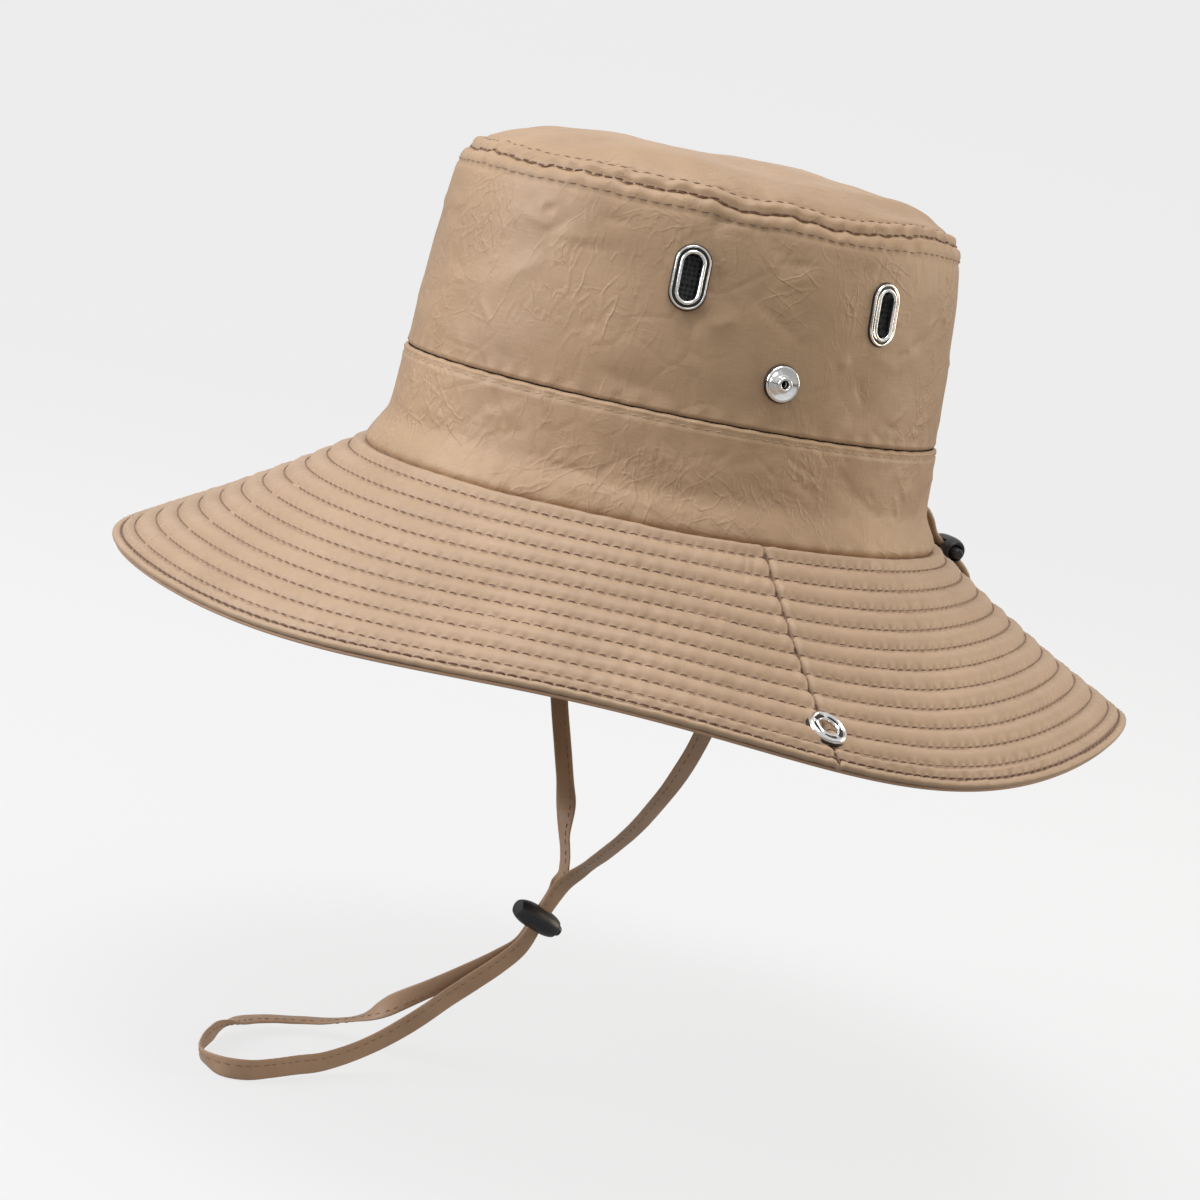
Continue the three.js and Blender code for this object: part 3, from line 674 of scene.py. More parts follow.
def seam_wave(t):
    """How far the top seam wanders up or down at each angle."""
    deg = (np.degrees(t) + 110) % 360 - 110
    a, w = np.array(SEAM_WAVE, float).T
    near = [np.interp((deg + k + 110) % 360 - 110, a, w) for k in (-2, -1, 0, 1, 2)]
    return sum(near) / 5 + 0.18 * np.sin(t * 47) + 0.12 * np.sin(t * 83 + 1)


def dome_z(r):
    """Height of the top panel at distance r from the middle."""
    return sum(np.interp(np.abs(r + d), DOME_R, DOME_Z) for d in (-3, -1.5, 0, 1.5, 3)) / 5


def random_creases(seed, count, low, high):
    """Short straight creases scattered over the crown between two heights, mostly slanting."""
    rng = np.random.RandomState(seed)
    out = []
    for _ in range(count):
        t, z = rng.uniform(0, TAU), rng.uniform(low, high)
        reach, lean = rng.uniform(5, 17), rng.uniform(-1.1, 1.1) + math.pi * rng.randint(2)
        t2, z2 = t + reach * math.cos(lean) / 86, z + reach * math.sin(lean) * 0.9
        corners = (t, z), (t2, np.clip(z2, low, high))
        ends = [tuple(oval_point(float(wall_r(h)), OVAL, a, h)) for a, h in corners]
        depth = rng.uniform(0.16, 0.6) * rng.choice([-1, 1])
        out.append((*ends, depth, rng.uniform(0.8, 2.8)))
    return out


def crinkled(P, strength, seed):
    """Outward displacement of crisp light cloth: broad soft dents and thin straight creases."""
    h = 1.0 * noise_at(P, 46, seed) + 0.42 * noise_at(P * [1, 1, 1.5], 20, seed + 5)
    h += 0.1 * noise_at(P, 6, seed + 9)
    zs = P[0, :, 2]
    h += crease_field(P, random_creases(int(seed * 10), 160, zs.min() + 2, zs.max() - 2))
    return h * strength + crease_field(P, CREASES)


AROUND = math.pi / 2 + np.linspace(0, TAU, 660, endpoint=False)
BAND_ROW, WALL_ROW = BAND_TOP - 2.4, CROWN_TOP - 5.2
CORD_EXIT_X = 7.6


def ring_piece(name, zs, relief, seed, strength, holes, shift=None):
    """A ring of crinkled shell cloth round the crown; returns its grid of points and its piece."""
    t = AROUND[:, None]
    zs = np.asarray(zs, float)[None]
    base = wall_grid(t, zs)
    edge = np.minimum(smooth(zs, zs.min(), zs.min() + 7), 1 - smooth(zs, zs.max() - 7, zs.max()))
    h = crinkled(base, strength, seed) * (0.3 + 0.7 * edge)
    h = h + 0.28 * np.sin(61 * t + 3 * noise_at(base, 20, seed + 2)) * (1 - edge) ** 2
    P = base + normals_of(base, True) * (h + relief(zs))[..., None]
    if shift is not None:
        P = P + shift(t, zs)
    return P, cloth_piece(name, P, "shell", CLOTH_THICK, ring=True, holes=holes)


def on_wall(y, z, side):
    """Point and outward normal of the crown wall at that height and distance from the side line."""
    def at(t_, z_):
        return oval_point(wall_r(z_), OVAL, t_, z_)

    t = math.asin(y / (float(wall_r(z)) + OVAL))
    t = t if side > 0 else math.pi - t
    p = at(t, z)
    n = np.cross(at(t + 0.01, z) - p, at(t, z + 1) - p)
    return p, n / np.linalg.norm(n)


VENTS = {
    f"{end}_{tag}": on_wall(y, VENT_Z, side)
    for tag, side in SIDES.items() for end, y in (("front", VENT_FRONT), ("rear", VENT_REAR))
}
STUDS = {tag: on_wall(STUD_Y, STUD_Z, side) for tag, side in SIDES.items()}


def plane_axes(n, up=(0, 0, 1.0)):
    """Across, up and outward directions of a fitting that faces along n."""
    n = np.asarray(n, float) / np.linalg.norm(n)
    x = np.cross(up, n)
    x /= np.linalg.norm(x)
    return x, np.cross(n, x), n


def pill_mask(P, at, n, width, straight, depth=12):
    """Which points lie in a pill-shaped opening of that half width, within depth of the surface."""
    x, y, out = (((P - at) @ axis) for axis in plane_axes(n))
    return (np.hypot(x, np.maximum(np.abs(y) - straight, 0)) < width) & (np.abs(out) < depth)


def cell_mask(P, tests):
    """Which grid cells have their centre inside one of the openings."""
    pair = P + np.roll(P, -1, 0)
    mid = pair[:, :-1] / 4 + pair[:, 1:] / 4
    return np.any([pill_mask(mid, *t) for t in tests], axis=0)


def spread(a, b, n, fine=0.35, lead=4):
    """Heights from a to b, closer together at both ends."""
    mid = np.linspace(a + fine * lead, b - fine * lead, n)
    low = a + fine * np.arange(lead)
    return np.concatenate([low, mid, (b - fine * np.arange(lead))[::-1]])


def make_wall():
    zs = spread(BAND_TOP + 0.35, CROWN_TOP - 0.1, 66)
    base = wall_grid(AROUND[:, None], zs[None])
    tests = [(*v, 4.5, VENT_STRAIGHT) for v in VENTS.values()] + [(*s, 2.2, 0.0) for s in STUDS.values()]
    holes = cell_mask(base, tests)

    def relief(z):
        fold = -0.9 * bell(z, zs[0], 0.55) - 1.5 * bell(z, zs[-1], 0.8)
        return fold + 0.5 * bell(z, CROWN_TOP - 3, 1.6) - 0.35 * bell(z, WALL_ROW, 0.7)

    def lift(t, z):
        """The wall follows the wandering top seam, and swells a little at the rear left."""
        up = seam_wave(t) * smooth(z, CROWN_TOP - 9, CROWN_TOP - 0.5)
        around = ((t - 1.85 + math.pi) % TAU) - math.pi
        rear = 2.2 * bell(around, 0, 0.42) * np.sin(np.clip((z - 36) / 62, 0, 1) * math.pi)
        return np.stack([rear * np.cos(t), rear * np.sin(t), up], -1)

    P, obj = ring_piece("crown_wall_cloth", zs, relief, 1.7, 1.0, holes, lift)
    finish_piece(obj, "hat", ["crown_wall"])
    return P


def make_band():
    zs = spread(0.1, BAND_TOP, 34)
    x, y, z = np.moveaxis(wall_grid(AROUND[:, None], zs[None]), -1, 0)
    near = (y > 0) & (np.abs(np.abs(x) - CORD_EXIT_X) < 5) & (np.abs(z - CORD_Z) < 1.9)
    holes = (near & np.roll(near, -1, 0))[:, :-1]

    def relief(z):
        belly = 0.9 * bell(z, 5.5, 3.5) - 1.6 * bell(z, zs[0], 1.1)
        line = 0.22 * bell(z, BAND_TOP - 1.1, 0.7) - 0.42 * bell(z, BAND_ROW, 0.5)
        return -0.7 * bell(z, zs[-1], 0.5) + belly + line

    P, obj = ring_piece("crown_band_cloth", zs, relief, 4.1, 0.95, holes)
    finish_piece(obj, "hat", ["crown_band"])
    return P


def disc_grid(n):
    """A square grid of n by n points stretched over the unit disc."""
    a = np.linspace(-1, 1, n)
    U, W = np.meshgrid(a, a, indexing="ij")
    return U * np.sqrt(1 - W * W / 2), W * np.sqrt(1 - U * U / 2)


TIP_CREASES = [
    ((30, -60, 108), (62, -14, 106), 1.9, 6.0), ((10, -40, 110), (50, 10, 110), -2.3, 7.0),
    ((45, 20, 110), (30, 68, 108), 2.0, 6.0), ((64, -26, 104), (44, -34, 108), -2.2, 3.2),
    ((66, -6, 104), (50, 4, 108), 1.5, 3.0), ((52, 40, 105), (40, 22, 110), -1.6, 3.4),
    ((-20, -50, 110), (-55, 10, 108), 1.4, 9.0), ((-40, 40, 109), (0, 64, 109), -1.5, 8.0),
    ((60, 8, 106), (66, 32, 103), -1.2, 4.0), ((20, 30, 111), (-20, 0, 111), 1.0, 10.0),
]


def upward_normals(P):
    N = normals_of(P)
    return N * np.sign(N[..., 2:])


def make_tip():
    X, Y = disc_grid(260)
    rho = np.clip(np.hypot(X, Y), 0, 1)
    angle = np.arctan2(Y, X)
    P = np.stack([X * TIP_R, Y * TIP_R * (1 + OVAL / DOME_REACH), dome_z(rho * TIP_R) - 0.3], -1)
    N = upward_normals(P)
    inner = 1 - smooth(rho, 0.84, 0.99)
    h = 1.5 * noise_at(P, 34, 11) + 0.7 * noise_at(P, 15, 15) + 0.1 * noise_at(P, 6, 19)
    h = h * (0.25 + 0.75 * inner) + crease_field(P, TIP_CREASES) * inner
    out = (1 - rho) * 82
    h += 0.5 * bell(out, 2.4, 1.4) - 0.4 * bell(out, 4.5, 0.7) - 1.7 * bell(out, 0, 0.9)
    h += 0.35 * np.sin(angle * 57 + 3 * noise_at(P, 20, 3)) * bell(out, 2.2, 1.8)
    P = P + N * h[..., None]
    P[..., 2] += seam_wave(angle) * smooth(rho, 0.86, 0.99)
    obj = cloth_piece("crown_tip_cloth", P, "shell", CLOTH_THICK)
    finish_piece(obj, "hat", ["crown_tip"])
    return P


def ring_stitches(name, surface, pitch, length, radius, material, lift=0.12):
    """Stitches round the crown along a closed line given as an array of surface points and normals."""
    line, norm = (np.vstack([a, a[:1]]) for a in surface)
    arc = arc_length(line)
    n = int(arc[-1] / pitch)
    where = (np.arange(n) + 0.5) * arc[-1] / n

    def pick(a, src):
        return np.stack([np.interp(a % arc[-1], arc, src[:, k]) for k in range(3)], -1)

    d = pick(where + 0.5, line) - pick(where - 0.5, line)
    nn = pick(where, norm)
    obj = stitch_mesh(name, pick(where, line) + unit(nn) * lift, d, nn, length, radius, material)
    return finish_piece(obj, "hat")


def row_on(P, z):
    """The line at that height on a ring surface, with its normals."""
    N = normals_of(P, True)
    j = int(np.argmin(np.abs(P[0, :, 2] - z)))
    return P[:, j], N[:, j]


wall_P = make_wall()
band_P = make_band()
tip_P = make_tip()
ring_stitches("stitches_band_top", row_on(band_P, BAND_ROW), CROWN_PITCH, 3.0, 0.2, "thread_light")
ring_stitches("stitches_wall_top", row_on(wall_P, WALL_ROW), CROWN_PITCH, 2.9, 0.17, "thread_mid")


def tip_line(P, rho):
    """The line at that share of the top panel's radius, with its normals."""
    a = np.linspace(0, TAU, 720, endpoint=False)
    N = upward_normals(P)
    X, Y = disc_grid(P.shape[0])
    flat = np.stack([X.ravel(), Y.ravel()], -1)
    q = np.stack([np.cos(a), np.sin(a)], -1) * rho
    near = np.array([np.argsort(((flat - p) ** 2).sum(1))[:4] for p in q])
    dist = np.linalg.norm(flat[near] - q[:, None], axis=-1)
    w = 1 / (dist + 1e-4)
    w /= w.sum(1, keepdims=True)
    pts = (P.reshape(-1, 3)[near] * w[..., None]).sum(1)
    return pts, unit((N.reshape(-1, 3)[near] * w[..., None]).sum(1))


ring_stitches(
    "stitches_tip_edge", tip_line(tip_P, 0.945), CROWN_PITCH, 2.9, 0.17, "thread_mid", lift=0.1
)


def seam_dashes(name, radius, z, pitch, length, thick, wave):
    """Dark thread showing in the crevice of a crown seam."""
    t = np.linspace(0, TAU, 900, endpoint=False)
    line = oval_point(radius, OVAL, t, z + wave(t))
    out = np.stack([np.cos(t), np.sin(t), 0.3 + 0 * t], -1)
    ring_stitches(name, (line, out), pitch, length, thick, "thread", lift=0.0)


seam_dashes("seam_thread_crown_top", 70.2, 101.5, 3.4, 3.0, 0.3, seam_wave)
seam_dashes("seam_thread_band_top", 77.5, BAND_TOP + 0.2, 3.6, 3.3, 0.18, lambda t: 0 * t)


# ---- brim ------------------------------------------------------------------
ROW_FIRST, ROW_STEP, ROW_MIDDLE, ROW_COUNT = 4.0, 7.75, 3.9, 11
BRIM_THICK = 3.0
SLOPE = math.hypot(BRIM_OUT - BRIM_IN, float(brim_drop(0.0)))
TOP_THREAD, UNDER_THREAD = -0.22, -2.85
ROWS = np.array([ROW_FIRST + ROW_STEP * k for k in range(ROW_COUNT)] + [SLOPE - 1.9])
QUADRANTS = {
    "front_left": (-0.5, 0.0), "rear_left": (0.0, 0.5), "rear_right": (0.5, 1.0), "front_right": (1.0, 1.5),
}
NEAR = [-2.4, -1.4, -0.8, -0.35, 0.0, 0.35, 0.8, 1.4, 2.4]


def row_levels():
    """Distances down the brim's slope where the cloth gets points: close together at each row."""
    marks = [0.3, 1.1]
    for d in ROWS[:-1]:
        marks += [d + x for x in NEAR if d + x > 1.2]
    marks += [d + ROW_MIDDLE for d in ROWS[:-2]]
    marks += [ROWS[-1] + x for x in (-3.2, -2.2, -1.4, -0.8, -0.35, 0, 0.35, 0.8, 1.3)]
    return np.unique(np.round(np.clip(marks, 0, SLOPE - 0.4), 3))


LEVELS = row_levels()


def brim_grid(t, depth, up=0.0):
    """Points of the brim for a column of angles t and a row of distances down its slope."""
    return brim_point(t[:, None], depth[None] / SLOPE, up)


def row_arcs(t):
    """Arc length along each stitch row from the side seam, at each angle t."""
    out = []
    for d in ROWS:
        a = arc_length(brim_point(t, d / SLOPE))
        seam = 0.0 if abs(t[0]) < 1e-6 or abs(t[0] - math.pi) < 1e-6 else a[-1]
        out.append(np.abs(a - seam))
    return np.array(out)


def quilt(t, depth, side):
    """Height of the quilted cloth above the plain brim, for grid angles t and depths along the slope."""
    arcs = row_arcs(t)
    gap = depth[None] - ROWS[:, None]
    k = np.argmin(np.abs(gap), axis=0)
    x = np.take_along_axis(gap, k[None], 0)[0]
    a = arcs[k].T
    puff = 1.4 * (1 - bell(x, 0, 1.9)) - 0.55
    phase = (a / STITCH_PITCH) % 1.0
    hole = np.minimum(phase, 1 - phase) * STITCH_PITCH
    dimple = -0.62 * bell(x, 0, 1.0)[None] * bell(hole, 0, 0.75)
    P = brim_grid(t, depth)
    soft = 0.42 * noise_at(P, 26, 2.2 + side) + 0.2 * noise_at(P, 9, 7.1 + side)
    along_row = np.stack([a / 5.0, 0 * a + x[None] / 22, 0 * a + k[None]], -1) * 10
    pucker = 0.17 * noise_at(along_row, 10, 5 + side) * (1.9 - 0.9 * bell(x, 0, 4.2)[None])
    tug = 0.16 * np.sin(a * TAU / 7 + 0.5 * x[None] + 4 * noise_at(P, 25, 9 + side))
    return puff[None] + dimple + soft + pucker + tug * bell(np.abs(x), 2, 1.3)[None]


SEAM_CREASES = [
    ((88, -4, -1), (106, -10, -12), -0.45, 0.9), ((88, -6.5, -1), (105, -12.5, -12), -0.4, 0.9),
    ((112, 28, -14), (120, 36, -20), -0.5, 1.0), ((126, 44, -26), (132, 52, -31), -0.45, 1.0),
    ((140, 66, -38), (146, 74, -42), -0.4, 1.2),
]
EDGE_ROLL = [(0.5, 0.42), (1.0, 0.12), (1.35, -0.35), (1.45, -0.9), (1.25, -1.45), (0.8, -1.8), (0.2, -1.95)]
UNDER_ROLL = [(0.1, -2.15), (0.8, -2.2), (1.2, -2.55), (1.25, -3.0), (0.9, -3.4), (0.4, -3.6)]


def seam_dip(P):
    """The cloth turns down into the side seams."""
    wobble = 0.25 * noise_at(P * [1, 0, 1], 9, 4)
    d = np.abs(P[..., 1])
    return -0.95 * bell(d, -wobble, 0.8) + 0.35 * bell(d, 2.6, 1.5)


def brim_angles(span):
    """Angles across a quadrant, closer together at the side seam."""
    a, b = span[0] * math.pi, span[1] * math.pi
    near_seam = np.concatenate([[0, 0.0022, 0.0044, 0.0066, 0.0095, 0.0125], np.linspace(0.0165, 1, 374)])
    seam_first = abs(math.sin(a)) < 1e-6
    return a + (b - a) * (near_seam if seam_first else 1 - near_seam[::-1])


def roll_rows(t, path, up=0.0):
    """Rows of points where the cloth turns at the brim's edge, from (mm past the edge, height)."""
    return [brim_point(t, 1 + e / SLOPE, h + up) for e, h in path]


def upper_grid(t):
    """The brim's upper cloth, from its tuck under the crown to its turn at the edge."""
    base = brim_grid(t, LEVELS)
    h = quilt(t, LEVELS, 0.0) + seam_dip(base) + crease_field(base, SEAM_CREASES)
    P = brim_grid(t, LEVELS, h)
    tuck = [brim_point(t, -0.03, -1.7), brim_point(t, -0.012, -0.9)]
    up = (h[:, -1] - 0.25) * 0.5 - 0.5 * bell(np.abs(base[:, -1, 1]), 0, 0.8)
    return np.stack([*tuck, *np.moveaxis(P, 1, 0), *roll_rows(t, EDGE_ROLL, up)], 1)


def under_grid(t):
    """The brim's under cloth, quilted by the same rows."""
    depth = LEVELS[::2]
    h = quilt(t, depth, 31.0) + seam_dip(brim_grid(t, depth))
    P = brim_grid(t, depth, -BRIM_THICK - h * 0.8)
    tuck = [brim_point(t, -0.028, -2.4), brim_point(t, -0.014, -2.9)]
    return np.stack([*tuck, *np.moveaxis(P, 1, 0), *roll_rows(t, UNDER_ROLL[::-1])], 1)


def brim_piece(obj, nodes=()):
    """Bakes a piece of the brim into place and hides the CAD nodes that it stands for."""
    if nodes:
        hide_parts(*nodes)
    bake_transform(obj)


def quadrant_nodes(layer, end, tag):
    """The CAD nodes that a quadrant's cloth stands for; the upper cloth hides the core too."""
    names = [f"brim_{layer}_{end}", f"flap_{layer}_{end}_{tag}"]
    if layer == "upper":
        names += [f"brim_core_{end}", f"flap_core_{tag}"]
    return names


def brim_stitches(name, t, up, facing):
    """Every stitch row of a quadrant on one face of the brim; facing is 1 above and -1 below."""
    mids, dirs, nrm = [], [], []
    for d, arc in zip(ROWS, row_arcs(t)):
        order = np.argsort(arc)
        where = (np.arange(int(arc.max() / STITCH_PITCH)) + 0.5) * STITCH_PITCH
        tt = np.interp(where, arc[order], t[order])
        p = brim_point(tt, d / SLOPE, up)
        dirs.append(brim_point(tt + 0.004, d / SLOPE, up) - brim_point(tt - 0.004, d / SLOPE, up))
        nrm.append((brim_point(tt, d / SLOPE, up + 1) - p) * facing)
        mids.append(p)
    last = len(mids[-1])
    mids, dirs, nrm = (np.concatenate(a) for a in (mids, dirs, nrm))
    looks = ("", slice(0, -last), 2.4, 0.2, "thread_row"), ("_edge", slice(-last, None), 3.1, 0.34, "thread")
    for part, rows, long, thick, mat in looks:
        obj = stitch_mesh(name + part, mids[rows], dirs[rows], nrm[rows], long, thick, mat)
        brim_piece(obj)


def make_brim():
    for quadrant, span in QUADRANTS.items():
        end, tag = quadrant.split("_")
        t = brim_angles(span)
        top = cloth_piece(f"brim_top_{quadrant}", upper_grid(t), "brim", 0.45, flip=True)
        brim_piece(top, quadrant_nodes("upper", end, tag))
        low = cloth_piece(f"brim_underside_{quadrant}", under_grid(t), "under", 0.4)
        brim_piece(low, quadrant_nodes("under", end, tag))
        brim_stitches(f"stitches_brim_top_{quadrant}", t, TOP_THREAD, 1)
        brim_stitches(f"stitches_brim_under_{quadrant}", t, UNDER_THREAD, -1)


def seam_thread(tag):
    """The dark thread line down a side seam of the brim, wandering a little."""
    step, sunk = 2.9, -0.42
    d = np.arange(1.6, SLOPE - 0.6, step)
    wander = 0.0022 * np.sin(d / 3.1) + 0.001 * np.sin(d / 1.3)
    t = SIDE_ANGLE[tag] + wander
    p = brim_point(t, d / SLOPE, sunk)
    q = brim_point(SIDE_ANGLE[tag] + np.roll(wander, -1), (d + step) / SLOPE, sunk)
    up = brim_point(t, d / SLOPE, 0.6) - p
    keep = np.abs(d - SOCKET_ALONG) > 6.2
    obj = stitch_mesh(
        f"seam_thread_{tag}", ((p + q) / 2)[keep], (q - p)[keep], up[keep], 3.1, 0.26, "thread", sink=0.12
    )
    brim_piece(obj)


make_brim()
for side_tag in SIDES:
    seam_thread(side_tag)


# ---- inside of the crown ---------------------------------------------------
def inner_ring(name, zs, inset, h, material, thick, node):
    """A ring of cloth inside the crown wall; h is its relief at a grid of points."""
    base = wall_grid(np.linspace(0, TAU, 420, endpoint=False)[:, None], zs, inset)
    P = base + normals_of(base, True) * h(base)[..., None]
    obj = cloth_piece(name, P, material, thick, ring=True)
    return P, finish_piece(obj, "hat", [node])


def make_inside():
    zs = np.linspace(1.5, 31, 26)[None]
    P, obj = inner_ring(
        "sweatband_cloth", zs, 4.6, lambda p: 0.35 * noise_at(p, 22, 3) + 0.25 * bell(zs, 31, 1.2)
        + 0.2 * bell(zs, 1.5, 1.2), "inner", BAND_THICK, "sweatband",
    )
    for tag, z in (("top", 29), ("low", 4)):
        line, norm = row_on(P, z)
        surface = line - norm * BAND_THICK, -norm
        ring_stitches(f"stitches_sweatband_{tag}", surface, BAND_PITCH, 2.8, 0.18, "thread_light")
    zs = np.linspace(29.6, 98.4, 44)[None]
    behind = 1 - smooth(zs, 31.2, 33.4)
    obj = inner_ring(
        "wall_gauze", zs, 5.1 - 1.5 * behind, lambda p: 0.35 * noise_at(p, 25, 8) * (1 - behind),
        "gauze", GAUZE_THICK, "wall_lining_mesh",
    )[1]
    X, Y = disc_grid(90)
    z = np.interp(np.clip(np.hypot(X, Y), 0, 1) * 68, DOME_R, DOME_Z) - 3.0
    P = np.stack([X * 67.5, Y * 67.5 * (1 + OVAL / DOME_REACH), z], -1)
    P[..., 2] += 0.7 * noise_at(P, 30, 4) - 0.8
    obj = cloth_piece("tip_gauze", P, "gauze", GAUZE_THICK)
    finish_piece(obj, "hat", ["tip_lining_mesh"])


make_inside()


# ---- metal fittings --------------------------------------------------------
def place(verts, at, n, up=(0, 0, 1.0)):
    """Moves points from a fitting's own axes to where it sits."""
    return np.asarray(at) + np.asarray(verts, float).reshape(-1, 3) @ np.array(plane_axes(n, up))


def rounded(profile, cut=0.22, steps=3):
    """Rounds the corners of a closed outline of (radius, height) points."""
    p = np.array(profile, float)
    out = []
    for a, b, c in zip(np.roll(p, 1, 0), p, np.roll(p, -1, 0)):
        la, lc = np.linalg.norm(a - b), np.linalg.norm(c - b)
        k = min(cut, la * 0.45, lc * 0.45)
        s, e = b + (a - b) / la * k, b + (c - b) / lc * k
        for j in range(steps + 1):
            u = j / steps
            out.append((1 - u) ** 2 * s + 2 * u * (1 - u) * b + u * u * e)
    return np.array(out)


def pill_ring(name, profile, at, n, material="chrome", segs=22):
    """A ring with a pill-shaped run: profile points are (half width, height)."""
    prof = rounded(profile)
    rows = []
    for end in (0, 1):
        for i in range(segs + 1):
            a = (end + i / segs) * math.pi
            dy = -VENT_STRAIGHT if end else VENT_STRAIGHT
            rows.append(np.stack([prof[:, 0] * math.cos(a), prof[:, 0] * math.sin(a) + dy, prof[:, 1]], -1))
    faces = grid_faces(len(rows), len(prof), True, True)[:, ::-1]
    return link_mesh(name, place(rows, at, n), faces, material)


def turned(name, profile, at, n, material="chrome", up=(0, 0, 1.0), segs=56, wave=None, cut=0.22):
    """A turned ring from a closed outline of (radius, height); wave changes heights by angle."""
    prof = rounded(profile, cut)
    P = ring_grid(prof, segs)
    if wave:
        P[..., 2] += wave(np.linspace(0, TAU, segs, endpoint=False)[:, None], *prof.T[:, None])
    faces = grid_faces(segs, len(prof), True, True)[:, ::-1]
    return link_mesh(name, place(P, at, n, up), faces, material)


EYELET = [
    (2.8, -3.9), (3.6, -3.9), (3.6, 0.3), (5.4, 0.2), (5.7, 0.75), (5.4, 1.35), (5.0, 1.3), (4.75, 0.55),
    (4.25, 0.55), (4.0, 1.5), (3.5, 1.8), (2.9, 1.3),
]
# EDGE is a near-black ring of painted shadow round a fitting's rim where it meets the cloth.
EDGE = [(5.6, -0.2), (6.15, -0.2), (6.1, 0.35), (5.85, 0.6), (5.6, 0.4)]
STUD = [
    (0.9, -3.8), (1.7, -3.8), (1.7, 0.4), (5.7, 0.4), (5.85, 1.0), (5.5, 1.5), (5.0, 1.55), (4.2, 1.2),
    (3.0, 0.8), (2.5, 1.1), (2.3, 2.0), (2.5, 2.7), (2.2, 3.2), (1.6, 3.2), (1.3, 2.7), (1.2, 1.5),
    (0.9, 1.0),
]
SOCKET = [
    (3.0, -3.3), (3.45, -3.3), (3.45, 0.5), (6.2, 0.4), (6.45, 0.9), (6.0, 1.6), (5.3, 1.95), (4.7, 1.55),
    (3.9, 1.5), (3.3, 1.7), (3.0, 1.1),
]
# GROOVE, CHANNEL and FLANGE are near-black rings of painted shadow: the shade in the socket's groove, in the
# vent rim's groove, and round the vent rim against the cloth.
GROOVE = [(3.75, 0.8), (4.95, 0.8), (4.95, 1.34), (3.75, 1.34)]
CHANNEL = [(4.1, 0.3), (4.9, 0.3), (4.9, 0.9), (4.1, 0.9)]
FLANGE = [(5.4, -0.2), (6.0, -0.2), (5.95, 0.35), (5.7, 0.6), (5.4, 0.5)]
def socket_wave(a, r, z):
    """Five raised spokes between the outer rim and the eye."""
    return -0.75 * bell(r, 4.35, 0.7) * (z > 1.0) * (0.5 + 0.5 * np.cos(5 * a + 0.6)) ** 0.6


def make_fittings():
    for tag, spot in VENTS.items():
        finish_piece(pill_ring(f"vent_rim_{tag}", EYELET, *spot), "hat", [f"vent_eyelet_{tag}"])
        # painted shadow: a dark ring in the vent rim's groove and another round its edge
        for part, profile in (("channel", CHANNEL), ("flange", FLANGE)):
            finish_piece(pill_ring(f"vent_{part}_{tag}", profile, *spot, "dark_metal"), "hat")
    for tag, spot in STUDS.items():
        finish_piece(turned(f"stud_{tag}", STUD, *spot), "hat", [f"snap_stud_{tag}"])
        # painted shadow: a dark ring round the stud's edge
        finish_piece(turned(f"stud_edge_{tag}", EDGE, *spot, "dark_metal"), "hat")
    for tag, t in SIDE_ANGLE.items():
        s = SOCKET_ALONG / SLOPE
        down = brim_point(t, s + 0.05) - brim_point(t, s - 0.05)
        n = np.cross(down, brim_point(t + 0.03, s) - brim_point(t - 0.03, s))
        wide_edge = [(r + 0.65, z) for r, z in EDGE]
        # the socket's groove and edge rings are painted shadow
        for part, profile, material, segs, wave, cut in (
            ("", SOCKET, "chrome", 80, socket_wave, 0.22), ("_groove", GROOVE, "dark_metal", 64, None, 0.1),
            ("_edge", wide_edge, "dark_metal", 64, None, 0.22),
        ):
            name = f"socket{part}_{tag}"
            ring = turned(name, profile, brim_point(t, s), n, material, (0, 1.0, 0), segs, wave, cut)
            finish_piece(ring, f"flap_{tag}", [] if part else [f"snap_socket_{tag}"])
    kept = [f"vent_washer_{tag}" for tag in VENTS]
    kept += [f"snap_{part}_{tag}" for part in ("stud_back", "cap") for tag in SIDES]
    for node in kept:
        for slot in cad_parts[node].material_slots:
            slot.material = MATS["chrome"]


make_fittings()


# ---- cord locks ------------------------------------------------------------
def lathe_solid(name, profile, segs):
    """A solid of black plastic turned from an open outline that starts and ends on the axis."""
    prof = np.array(profile, float)
    inner = prof[1:-1]
    m = len(inner)
    verts = np.concatenate([ring_grid(inner, segs).reshape(-1, 3), [[0, 0, prof[0, 1]], [0, 0, prof[-1, 1]]]])
    faces = grid_faces(segs, m, True).tolist()
    for i in range(segs):
        j = (i + 1) % segs
        faces += [(segs * m, j * m, i * m), (segs * m + 1, i * m + m - 1, j * m + m - 1)]
    mesh = bpy.data.meshes.new(name)
    mesh.from_pydata((verts * MM).tolist(), [], faces)
    mesh.materials.append(MATS["black"])
    return add_object(name, mesh)


def carve(obj, *tools):
    """Cuts each tool out of obj and removes the tools."""
    for t in tools:
        mod = obj.modifiers.new("cut", "BOOLEAN")
        mod.operation, mod.solver, mod.object = "DIFFERENCE", "EXACT", t
    bpy.context.view_layer.update()
    mesh = bpy.data.meshes.new_from_object(obj.evaluated_get(bpy.context.evaluated_depsgraph_get()))
    obj.modifiers.clear()
    obj.data = mesh
    for t in tools:
        bpy.data.objects.remove(t)
    for p in obj.data.polygons:
        p.use_smooth = True
    return obj


def block(sx, sy, sz, z=0.0):
    """A box that cuts the cords' opening through a lock; it never stays in the scene."""
    mesh = bpy.data.meshes.new("block")
    bm = bmesh.new()
    bmesh.ops.create_cube(bm, size=1)
    for v in bm.verts:
        v.co = Vector((v.co.x * sx, v.co.y * sy, v.co.z * sz + z)) * MM
    bm.to_mesh(mesh)
    bm.free()
    return add_object("block", mesh)


